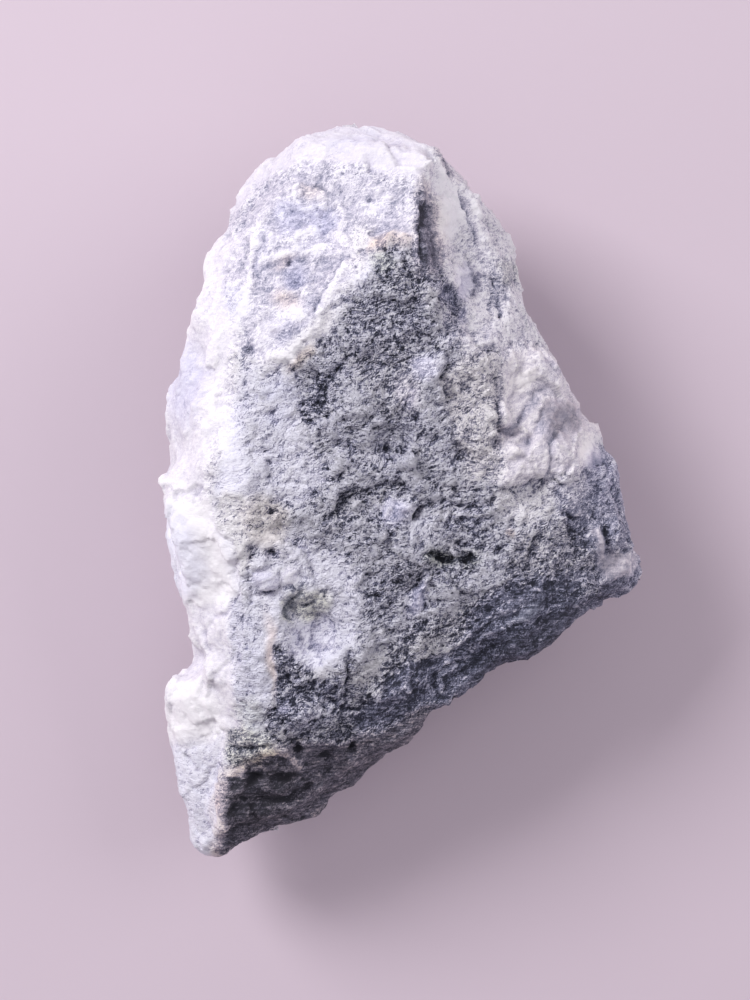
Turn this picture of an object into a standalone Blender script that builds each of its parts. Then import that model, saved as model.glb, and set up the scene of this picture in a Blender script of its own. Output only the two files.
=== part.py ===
"""Raw larimar: one rough, wedge-shaped stone about 73 mm long, lying on its hidden back.

Blender 4.5, metres, +Z up. X and Y lie in the surface that the stone rests on, with +Y along its length,
and the origin is at the bottom centre of its box. The stone is a slab with the outline that is seen from
above, broken by fracture faces, with ledges and hollows cut into it and a chipped relief over all of it.
"""

import math

import bmesh
import bpy
from mathutils import Matrix, Vector, noise

# The driving sizes. Lengths and places below are in millimetres, and MM turns them into metres.
MM = 0.001
THICKNESS = 30.5
SLAB_OVERLAP = 6.0
BLOCK_SIZE = 120.0
REMESH_VOXEL = 0.72
WORN_STEPS = 2
FOLD_EASING = 0.35
MOST_TRIANGLES = 9600
GRAIN_SEED = 11

# The stone's colour, as Blender's linear red, green, blue and alpha.
STONE_COLOUR = (0.56, 0.59, 0.66, 1.0)
STONE_ROUGHNESS = 0.85

# The rim of the stone seen from above, clockwise from the top.
OUTLINE = (
    (-3.4, 36.1), (-0.5, 35.5), (3.3, 33.9), (5.2, 31.2), (9.3, 26.8), (11.0, 23.4),
    (11.2, 19.6), (13.9, 13.7), (16.5, 10.3), (18.3, 6.9), (20.6, 3.4), (22.8, -2.6),
    (24.2, -4.6), (24.8, -7.0), (23.7, -10.2), (19.2, -12.3), (14.1, -15.1), (9.1, -17.7),
    (4.6, -20.3), (3.2, -20.6), (2.2, -22.0), (-2.3, -27.2), (-6.6, -31.3), (-11.3, -33.9),
    (-16.2, -35.9), (-18.5, -37.5), (-20.3, -36.9), (-21.6, -31.2), (-23.3, -24.1), (-23.2, -22.0),
    (-22.2, -19.1), (-20.2, -16.9), (-20.6, -13.2), (-22.7, -8.1), (-23.6, -2.9), (-22.9, 2.5),
    (-21.9, 9.3), (-20.4, 14.7), (-19.0, 19.4), (-18.9, 22.4), (-16.5, 26.5), (-15.9, 28.8),
    (-13.4, 32.7), (-6.6, 36.0),
)

# The fracture faces that bound the stone: a point on each, its dip from level, and the bearing that it
# faces, counter-clockwise from +X. A dip over 90 degrees faces down.
FRACTURE_FACES = {
    "main": ((0, 0, 26.5), 14, -52),
    "upper_left": ((-5.0, 19.0, 30.4), 28, 125),
    "left_upper": ((-16.2, 6.0, 29.2), 38, 166),
    "left_lower": ((-16.4, -10.0, 26.6), 36, 198),
    "left_rim": ((-20.6, 0, 23.4), 70, 180),
    "upper_left_rim": ((-15.2, 24.0, 23.5), 68, 148),
    "cap": ((-4.5, 30.6, 25.2), 40, 100),
    "cap_rim": ((-3.0, 34.2, 21.5), 68, 92),
    "right_flank": ((9.9, 5.6, 26.0), 34, 8),
    "right_rim": ((14.6, 10.6, 21.6), 60, 24),
    "right_fall": ((14.5, -4.5, 23.2), 34, -18),
    "corner_rim": ((21.2, -4.0, 18.2), 62, 2),
    "corner_lower": ((20.6, -9.6, 18.0), 60, -48),
    "lower_slope": ((-5.2, -18.3, 24.2), 38, -60),
    "lower_hollow": ((-9.0, -18.6, 24.8), 22, -92),
    "lower_steep": ((5.2, -20.4, 18.6), 66, -59),
    "lower_left": ((-12.5, -25.6, 22.0), 43, -76),
    "tip_left": ((-13.5, -22.0, 24.5), 47, 200),
    "tip_rim": ((-20.9, -29.0, 15.5), 68, 194),
    "rest": ((0, 0, -0.5), 180, 0),
    "under_left": ((-23.7, 0, 13.5), 124, 175),
    "under_left_low": ((-17.0, -6, 4.5), 146, 183),
    "under_upper_left": ((-17.5, 26, 9.5), 121, 143),
    "under_top": ((-3.2, 35.4, 15.5), 128, 84),
    "under_top_low": ((1.0, 26.0, 5.0), 152, 70),
    "under_right": ((16.0, 12, 15), 118, 26),
    "under_right_low": ((14.5, 6, 4.2), 150, 12),
    "under_corner": ((24.0, -6.5, 9.0), 139, -12),
    "under_lower": ((-9.0, -31.8, 8.5), 118, -58),
    "under_lower_low": ((-4.0, -21.5, 2.5), 146, -64),
    "under_tip": ((-18.5, -37.0, 7.0), 140, -108),
}

# Soft lumps on the upper side: place, radii, turn about Z, and how far each stands above the faces.
LUMPS = {
    "long_ridge": ((-7.8, 17.4), (7.6, 1.5, 1.6), 40, 0.55),
    "dish_rim": ((-6.6, -15.4), (5.4, 5.9, 4.0), -20, 0.75),
    "light_rise": ((3.2, 11.8), (4.6, 3.4, 2.4), 20, 0.6),
    "middle_rise": ((-0.6, 2.2), (3.0, 6.0, 3.0), 8, 0.45),
    "pale_bulge": ((13.0, 2.6), (4.2, 3.0, 3.2), -25, 0.9),
    "corner_bulge": ((18.6, -5.4), (4.6, 4.4, 4.0), 20, 0.7),
    "left_knob": ((-23.0, 0.4), (1.3, 1.3, 1.7), 0, 0.9),
    "left_bulge": ((-19.6, -3.0), (3.6, 7.0, 4.4), 5, 0.5),
    "tip_crest": ((-16.6, -29.6), (1.3, 6.4, 2.0), -14, 0.5),
    "cap_bulge": ((-1.5, 31.0), (4.4, 2.6, 3.4), -12, 0.6),
    "upper_left_fold": ((-9.8, 24.0), (5.4, 1.0, 1.2), 18, 0.35),
}

# Straight-sided ledges: the foot of the wall and how deep it lies, the wall's dip and bearing, the
# floor's dip and bearing, and the size of the bite.
LEDGES = {
    "apex_cliff": ((2.7, 25.6), 3.1, (80, 4), (44, 26), 15.0),
    "apex_shelf": ((4.0, 18.6), 1.4, (72, 12), (30, 24), 7.0),
    "pale_wall": ((10.2, 8.0), 1.3, (74, 8), (16, 10), 6.4),
    "pale_foot": ((13.0, 0.2), 1.1, (72, -84), (14, 20), 6.0),
    "green_step": ((-15.4, -27.0), 0.8, (70, -84), (24, -60), 5.0),
}

# Scooped hollows in the upper side: place, radii, turn about Z, and depth below the faces.
SCOOPS = {
    "dish": ((-8.1, -14.4), (4.2, 5.2, 4.6), -20, 1.5),
    "dark_hollow": ((-8.3, 9.2), (2.4, 3.4, 2.6), -32, 1.1),
    "green_pit": ((5.2, -6.5), (1.8, 1.3, 1.8), 10, 1.6),
    "small_pit": ((1.8, -2.4), (1.2, 1.2, 1.4), 0, 0.9),
    "ridge_pit": ((-3.6, 18.2), (1.1, 1.1, 1.4), 0, 0.8),
    "lower_pocket": ((-9.6, -20.8), (3.6, 2.0, 2.6), 14, 0.8),
    "blue_basin": ((-9.6, 27.0), (4.0, 2.4, 3.0), 20, 0.5),
    "fold_basin": ((-9.8, 20.9), (3.4, 2.2, 3.0), 34, 0.6),
    "flank_basin": ((7.0, 22.6), (2.6, 6.4, 4.0), 18, 3.6),
    "left_dent": ((-20.9, 12.8), (2.6, 4.6, 4.0), -14, 0.8),
    "notch": ((-21.6, -16.9), (3.4, 2.6, 12.0), 0, 7.0),
    "corner_dent": ((20.2, -7.6), (2.4, 1.9, 2.4), 30, 0.9),
    "lower_dent_left": ((-7.6, -28.2), (3.0, 1.6, 2.4), 16, 1.1),
    "lower_dent_right": ((8.0, -16.6), (4.0, 1.6, 2.6), 32, 0.8),
}

# Larger hollows low on the sides and the hidden back: centre, radii, and turn about Z.
UNDERCUTS = {
    "back_hollow": ((7.0, 10.0, -3.2), (7.0, 10.0, 6.0), 20),
    "left_hollow": ((-24.5, 12.0, 4.5), (8.0, 9.0, 6.5), 10),
    "top_hollow": ((9.0, 34.0, 6.5), (9.0, 8.0, 6.5), 0),
    "lower_hollow_right": ((13.0, -23.5, 5.5), (14.0, 7.0, 8.0), 30),
    "tip_hollow": ((-26.0, -24.0, 3.0), (8.0, 8.0, 5.5), -10),
}

# The relief on every broken face: long swells, two sizes of flat chips, and crumbs.
SWELL_SIZE = 12.0
SWELL_HEIGHT = 0.8
CHIPS = {
    "plates": {"size": 6.5, "step": 0.6, "tilt": 0.15, "shift": 0.0},
    "flakes": {"size": 3.1, "step": 0.4, "tilt": 0.18, "shift": 40.0},
}
CRUMB_SIZE = 1.6
CRUMB_HEIGHT = 0.25
SWELL_SHARE_KEPT = 0.6

# How far apart the noise is read for two neighbouring chips, so that their tilts and steps differ.
TILT_SPREAD = 3.7
STEP_SPREAD = 5.1

# Places where the relief is weaker: centre, reach, and the share of it that is left there.
SMOOTHER_PLACES = {
    "upper_left_face": ((-10, 27, 26), 9.0, 0.6),
    "right_flank": ((7, 25, 22), 7.0, 0.35),
    "left_face": ((-19, 4, 25), 9.0, 0.55),
    "tip_face": ((-19, -26, 19), 6.0, 0.6),
    "dish": ((-7, -15, 23), 4.5, 0.35),
}


def face_direction(dip, bearing):
    """The outward normal of a face with this dip and bearing."""
    dip, bearing = math.radians(dip), math.radians(bearing)
    level = math.sin(dip)
    return Vector((level * math.cos(bearing), level * math.sin(bearing), math.cos(dip)))


def face_height(x, y):
    """The height of the upper side at a place: the lowest of the faces that look up, in millimetres."""
    heights = []
    for (px, py, pz), dip, bearing in FRACTURE_FACES.values():
        if dip < 90:
            normal = face_direction(dip, bearing)
            heights.append(pz - (normal.x * (x - px) + normal.y * (y - py)) / normal.z)
    return min(heights)


def clear_scene():
    for obj in list(bpy.data.objects):
        bpy.data.objects.remove(obj)


def new_collection(name):
    made = bpy.data.collections.new(name)
    bpy.context.scene.collection.children.link(made)
    return made


def evaluated_mesh(obj):
    """A new mesh of the object with its modifiers applied."""
    graph = bpy.context.evaluated_depsgraph_get()
    return bpy.data.meshes.new_from_object(obj.evaluated_get(graph), depsgraph=graph)


def guide_object(name, bm, group):
    """A helper shape made from a bmesh: linked, drawn as wire, and left out of a render."""
    mesh = bpy.data.meshes.new(name)
    bm.to_mesh(mesh)
    bm.free()
    obj = bpy.data.objects.new(name, mesh)
    group.objects.link(obj)
    obj.hide_render = True
    obj.display_type = "WIRE"
    return obj


def face_outwards(bm):
    """Turn all faces the same way, and then outwards."""
    bmesh.ops.recalc_face_normals(bm, faces=bm.faces)
    if bm.calc_volume(signed=True) < 0:
        bmesh.ops.reverse_faces(bm, faces=bm.faces)


def cut_by_plane(bm, place, normal):
    """Cut away what lies beyond a plane and close the cut with a flat face."""
    cut = bmesh.ops.bisect_plane(
        bm,
        geom=bm.verts[:] + bm.edges[:] + bm.faces[:],
        plane_co=place,
        plane_no=normal,
        clear_outer=True,
    )
    rim = [item for item in cut["geom_cut"] if isinstance(item, bmesh.types.BMEdge)]
    bmesh.ops.contextual_create(bm, geom=rim)


def outline_slab(group):
    """The outline as a flat curve, extruded through the stone's whole thickness and made a mesh."""
    flat = bpy.data.curves.new("outline", "CURVE")
    flat.dimensions = "2D"
    flat.fill_mode = "BOTH"
    flat.extrude = (THICKNESS / 2 + SLAB_OVERLAP) * MM
    spline = flat.splines.new("POLY")
    spline.points.add(len(OUTLINE) - 1)
    for point, (x, y) in zip(spline.points, OUTLINE):
        point.co = (x * MM, y * MM, 0, 1)
    spline.use_cyclic_u = True
    curve = bpy.data.objects.new("outline", flat)
    group.objects.link(curve)
    curve.location.z = THICKNESS / 2 * MM
    bpy.context.view_layer.update()
    bm = bmesh.new()
    bm.from_mesh(evaluated_mesh(curve))
    bm.transform(curve.matrix_world)
    bpy.data.objects.remove(curve)
    bmesh.ops.remove_doubles(bm, verts=bm.verts, dist=0.001 * MM)
    face_outwards(bm)
    return guide_object("outline_slab", bm, group)


def fracture_block(group):
    """A cube cut down by each fracture face in turn: the convex block that the stone broke out as."""
    bm = bmesh.new()
    bmesh.ops.create_cube(bm, size=BLOCK_SIZE * MM)
    for place, dip, bearing in FRACTURE_FACES.values():
        cut_by_plane(bm, Vector(place) * MM, face_direction(dip, bearing))
    face_outwards(bm)
    return guide_object("fracture_block", bm, group)


def soft_ball(name, centre, radii, turn, group):
    """An ellipsoid, turned about Z by some degrees."""
    bm = bmesh.new()
    place = Matrix.Translation(Vector(centre) * MM) @ Matrix.Rotation(math.radians(turn), 4, "Z")
    spread = Matrix.Diagonal([*(radius * MM for radius in radii), 1])
    bmesh.ops.create_icosphere(bm, subdivisions=3, radius=1, matrix=place @ spread)
    return guide_object(name, bm, group)


def ledge_cutter(name, foot, wall, floor, size, group):
    """A cube with two flat sides that meet at the foot: a wall that faces one way and a floor below it."""
    bm = bmesh.new()
    bmesh.ops.create_cube(bm, size=size * MM, matrix=Matrix.Translation(Vector(foot) * MM))
    for dip, bearing in (wall, floor):
        cut_by_plane(bm, Vector(foot) * MM, -face_direction(dip, bearing))
    face_outwards(bm)
    return guide_object(name, bm, group)


def add_boolean(obj, cutter, operation):
    cut = obj.modifiers.new(cutter.name, "BOOLEAN")
    cut.operation = operation
    cut.object = cutter


def broken_stone(group):
    """The slab inside the fracture block, with its lumps, ledges and hollows, as modifiers."""
    stone = outline_slab(group)
    add_boolean(stone, fracture_block(group), "INTERSECT")
    for name, ((x, y), radii, turn, rise) in LUMPS.items():
        centre = (x, y, face_height(x, y) + rise - radii[2])
        add_boolean(stone, soft_ball(name, centre, radii, turn, group), "UNION")
    for name, ((x, y), depth, wall, floor, size) in LEDGES.items():
        foot = (x, y, face_height(x, y) - depth)
        add_boolean(stone, ledge_cutter(name, foot, wall, floor, size, group), "DIFFERENCE")
    for name, ((x, y), radii, turn, depth) in SCOOPS.items():
        centre = (x, y, face_height(x, y) - depth + radii[2])
        add_boolean(stone, soft_ball(name, centre, radii, turn, group), "DIFFERENCE")
    for name, (centre, radii, turn) in UNDERCUTS.items():
        add_boolean(stone, soft_ball(name, centre, radii, turn, group), "DIFFERENCE")
    remesh = stone.modifiers.new("even_grid", "REMESH")
    remesh.mode = "VOXEL"
    remesh.voxel_size = REMESH_VOXEL * MM
    worn = stone.modifiers.new("worn_edges", "SMOOTH")
    worn.factor = 0.5
    worn.iterations = WORN_STEPS
    return stone


def chip_height(place, size, step, tilt, shift):
    """Piecewise flat relief: each cell of the grain is set back or forward and tilted a little."""
    scaled = (place + Vector((shift, 0, 0))) / size
    centre = noise.voronoi(scaled)[1][0]
    lean = noise.noise_vector(centre * TILT_SPREAD)
    return step * noise.noise(centre * STEP_SPREAD) + tilt * size * lean.dot(scaled - centre)


def relief_share(place):
    """How much of the chips and crumbs shows at a place, from 0 to 1."""
    share = 1.0
    for centre, reach, left in SMOOTHER_PLACES.values():
        near = math.exp(-(((place - Vector(centre)).length / reach) ** 2))
        share *= 1 - near * (1 - left)
    return share


def relief(place):
    """How far the broken surface stands out at a place, in millimetres."""
    swell = SWELL_HEIGHT * noise.fractal(place / SWELL_SIZE, 1.0, 2.0, 3)
    fine = (1 - SWELL_SHARE_KEPT) * swell + CRUMB_HEIGHT * noise.noise(place / CRUMB_SIZE)
    fine += sum(chip_height(place, **chip) for chip in CHIPS.values())
    return SWELL_SHARE_KEPT * swell + relief_share(place) * fine


def roughen(mesh):
    """Move every point along its normal by the relief."""
    bm = bmesh.new()
    bm.from_mesh(mesh)
    bm.normal_update()
    moves = [vert.normal * relief(vert.co / MM) * MM for vert in bm.verts]
    for vert, move in zip(bm.verts, moves):
        vert.co += move
    bm.to_mesh(mesh)
    bm.free()


def applied(obj):
    """Give the object its own evaluated mesh in place of its modifiers."""
    bpy.context.view_layer.update()
    obj.data = evaluated_mesh(obj)
    obj.modifiers.clear()


def thin_out(obj):
    """Ease the sharpest folds, then thin the mesh to the most triangles that the stone may have."""
    eased = obj.modifiers.new("eased_folds", "SMOOTH")
    eased.factor = FOLD_EASING
    eased.iterations = 1
    obj.data.calc_loop_triangles()
    thin = obj.modifiers.new("fewer", "DECIMATE")
    thin.ratio = MOST_TRIANGLES / len(obj.data.loop_triangles)
    applied(obj)


def cut_flat_spot(obj, group):
    """Cut off what lies below the surface that the stone rests on."""
    bm = bmesh.new()
    below = Matrix.Translation((0, 0, -BLOCK_SIZE / 2 * MM))
    bmesh.ops.create_cube(bm, size=BLOCK_SIZE * MM, matrix=below)
    add_boolean(obj, guide_object("resting_surface", bm, group), "DIFFERENCE")
    applied(obj)


def centre_box(mesh):
    """Make the mesh plain triangles, and move it so that the middle of its box is over the origin."""
    bm = bmesh.new()
    bm.from_mesh(mesh)
    bmesh.ops.triangulate(bm, faces=bm.faces)
    face_outwards(bm)
    middle = [
        (min(vert.co[axis] for vert in bm.verts) + max(vert.co[axis] for vert in bm.verts)) / 2
        for axis in (0, 1)
    ]
    bmesh.ops.translate(bm, verts=bm.verts, vec=(-middle[0], -middle[1], 0))
    bm.to_mesh(mesh)
    bm.free()


def stone_material():
    material = bpy.data.materials.new("larimar")
    material.use_nodes = True
    shader = material.node_tree.nodes["Principled BSDF"]
    shader.inputs["Base Color"].default_value = STONE_COLOUR
    shader.inputs["Roughness"].default_value = STONE_ROUGHNESS
    shader.inputs["Metallic"].default_value = 0.0
    return material


def main():
    noise.seed_set(GRAIN_SEED)
    clear_scene()
    parts = new_collection("raw_larimar")
    cutters = new_collection("cutters")
    mesh = evaluated_mesh(broken_stone(cutters))
    roughen(mesh)
    stone = bpy.data.objects.new("larimar_stone", mesh)
    parts.objects.link(stone)
    thin_out(stone)
    cut_flat_spot(stone, cutters)
    centre_box(stone.data)
    stone.data.materials.append(stone_material())


main()
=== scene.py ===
import math
import bpy
import numpy as np
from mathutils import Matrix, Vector, noise


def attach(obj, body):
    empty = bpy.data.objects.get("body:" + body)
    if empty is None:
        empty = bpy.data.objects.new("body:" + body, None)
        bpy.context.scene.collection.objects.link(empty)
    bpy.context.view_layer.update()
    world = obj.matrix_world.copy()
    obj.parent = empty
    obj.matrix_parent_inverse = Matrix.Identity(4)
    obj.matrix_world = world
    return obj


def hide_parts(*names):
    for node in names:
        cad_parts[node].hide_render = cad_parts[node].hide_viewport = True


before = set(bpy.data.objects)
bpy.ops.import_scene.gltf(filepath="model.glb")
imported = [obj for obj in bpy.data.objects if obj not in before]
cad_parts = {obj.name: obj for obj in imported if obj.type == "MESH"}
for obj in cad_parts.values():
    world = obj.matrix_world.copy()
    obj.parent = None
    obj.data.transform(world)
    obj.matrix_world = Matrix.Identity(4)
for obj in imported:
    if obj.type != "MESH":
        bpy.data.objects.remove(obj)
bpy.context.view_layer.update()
mm = 0.001
noise.seed_set(11)
print("frame loaded")

# the lens looks straight down on the stone
lens = {
    "place": (-2.597, -0.453, 313.0),   # mm
    "focal": 108.0, "sensor": 36.0,     # mm
    "nearest": 0.01,                    # m
    "sheet": 13.0,                      # mm, height of the sheet that the markings are drawn on
    "frame": (750, 1000),               # the picture's width and height
}

stonePlan = {
    "doubles": 0.000001,    # m, corners of the CAD mesh that are nearer than this become one
    "net": 0.49,            # mm, the even net that the stone is made again from
    "easing": 8,            # smoothing passes that take the CAD facets away
    "easingAfter": 2,       # and those after the net is made finer
    "ease": 0.5,            # how far each pass moves a point
    "upper": 0.36,          # faces that look up more than this get the finer net
    "flat": 0.15,           # mm, what lies lower than this is the flat spot
}


# small helpers

def deselectAll():
    if bpy.context.object and bpy.context.object.mode != "OBJECT":
        bpy.ops.object.mode_set(mode="OBJECT")
    bpy.ops.object.select_all(action="DESELECT")


def pick(piece):
    deselectAll()
    piece.select_set(True)
    bpy.context.view_layer.objects.active = piece


def applied(piece, kind, **settings):
    pick(piece)
    modifier = piece.modifiers.new(kind.title(), kind)
    for name, value in settings.items():
        setattr(modifier, name, value)
    bpy.ops.object.modifier_apply(modifier=modifier.name)


def readVectors(piece, what, size=1.0):
    flat = np.empty(len(piece.data.vertices) * 3, np.float32)
    piece.data.vertices.foreach_get(what, flat)
    return flat.reshape(-1, 3).astype(float) / size


def writePoints(piece, points):
    piece.data.vertices.foreach_set("co", (points * mm).astype(np.float32).ravel())
    piece.data.update()


def writeValues(piece, name, values):
    layer = piece.data.attributes.new(name, "FLOAT", "POINT")
    layer.data.foreach_set("value", values.astype(np.float32))


def eased(values, low, high):
    t = np.clip((values - low) / (high - low), 0, 1)
    return t * t * (3 - 2 * t)


seedSteps = (17.3, 5.1, 9.7)


def wander(points, size, seed):
    # one smooth random number for each point, from -1 to 1
    offset = Vector([seed * step for step in seedSteps])
    return np.array([noise.noise(Vector(p) / size + offset) for p in points])


# the stone's body: the CAD solid with an even net, eased, and finer where it is seen

def makeBody():
    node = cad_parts["larimar_stone"]
    stone = bpy.data.objects.new("raw_larimar", node.data.copy())
    bpy.context.scene.collection.objects.link(stone)
    stone.data.materials.clear()
    pick(stone)
    bpy.ops.object.mode_set(mode="EDIT")
    bpy.ops.mesh.select_all(action="SELECT")
    bpy.ops.mesh.remove_doubles(threshold=stonePlan["doubles"])
    bpy.ops.object.mode_set(mode="OBJECT")
    applied(stone, "REMESH", mode="VOXEL", voxel_size=stonePlan["net"] * mm, use_smooth_shade=True)
    applied(stone, "SMOOTH", factor=stonePlan["ease"], iterations=stonePlan["easing"])
    faces = stone.data.polygons
    up = np.empty(len(faces) * 3, np.float32)
    faces.foreach_get("normal", up)
    faces.foreach_set("select", up.reshape(-1, 3)[:, 2] > stonePlan["upper"])
    pick(stone)
    bpy.context.tool_settings.mesh_select_mode = (False, False, True)
    bpy.ops.object.mode_set(mode="EDIT")
    bpy.ops.mesh.subdivide(number_cuts=1, smoothness=0)
    bpy.ops.object.mode_set(mode="OBJECT")
    applied(stone, "SMOOTH", factor=stonePlan["ease"], iterations=stonePlan["easingAfter"])
    return stone


# from a place in the picture's frame to mm right and up from the middle of the sheet
def drawn(corners):
    reach = lens["sensor"] * (lens["place"][2] - lens["sheet"]) / lens["focal"]
    across, down = lens["frame"]
    return (np.array(corners, float) - (across / 2, down / 2)) * (reach / down, -reach / down)


# where each point of the stone shows on the sheet, in mm right and up from its middle
def sheetPlaces(points):
    away = lens["place"][2] - points[:, 2]
    spread = (lens["place"][2] - lens["sheet"]) / away
    across = (points[:, 0] - lens["place"][0]) * spread
    upwards = (points[:, 1] - lens["place"][1]) * spread
    return np.stack([across, upwards], 1)


# markings: outlines, and spots (middle, half sizes, turn), painted one over the other; places are in the
# picture's frame of 750 x 1000, sizes in mm and turns in degrees

# tone is from 0, dark slate, to 1, white, and more where its specks stay pale too; grain is how crumbly it
# is, chip how angular, and web how netted; down, slope and rise are fibres in three directions; blue, warm
# and green tint it, and on the steep side warm is also painted warm bounce light; soft is how wide its edge
# runs out, and strength how much it covers of what is there
plainStone = {"tone": 0.69, "grain": 1.0, "chip": 0.6, "web": 0.0, "down": 0.15, "slope": 0.0, "rise": 0.1,
              "blue": 0.75, "warm": 0.0, "green": 0.0}
usualSoft = 0.5

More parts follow.
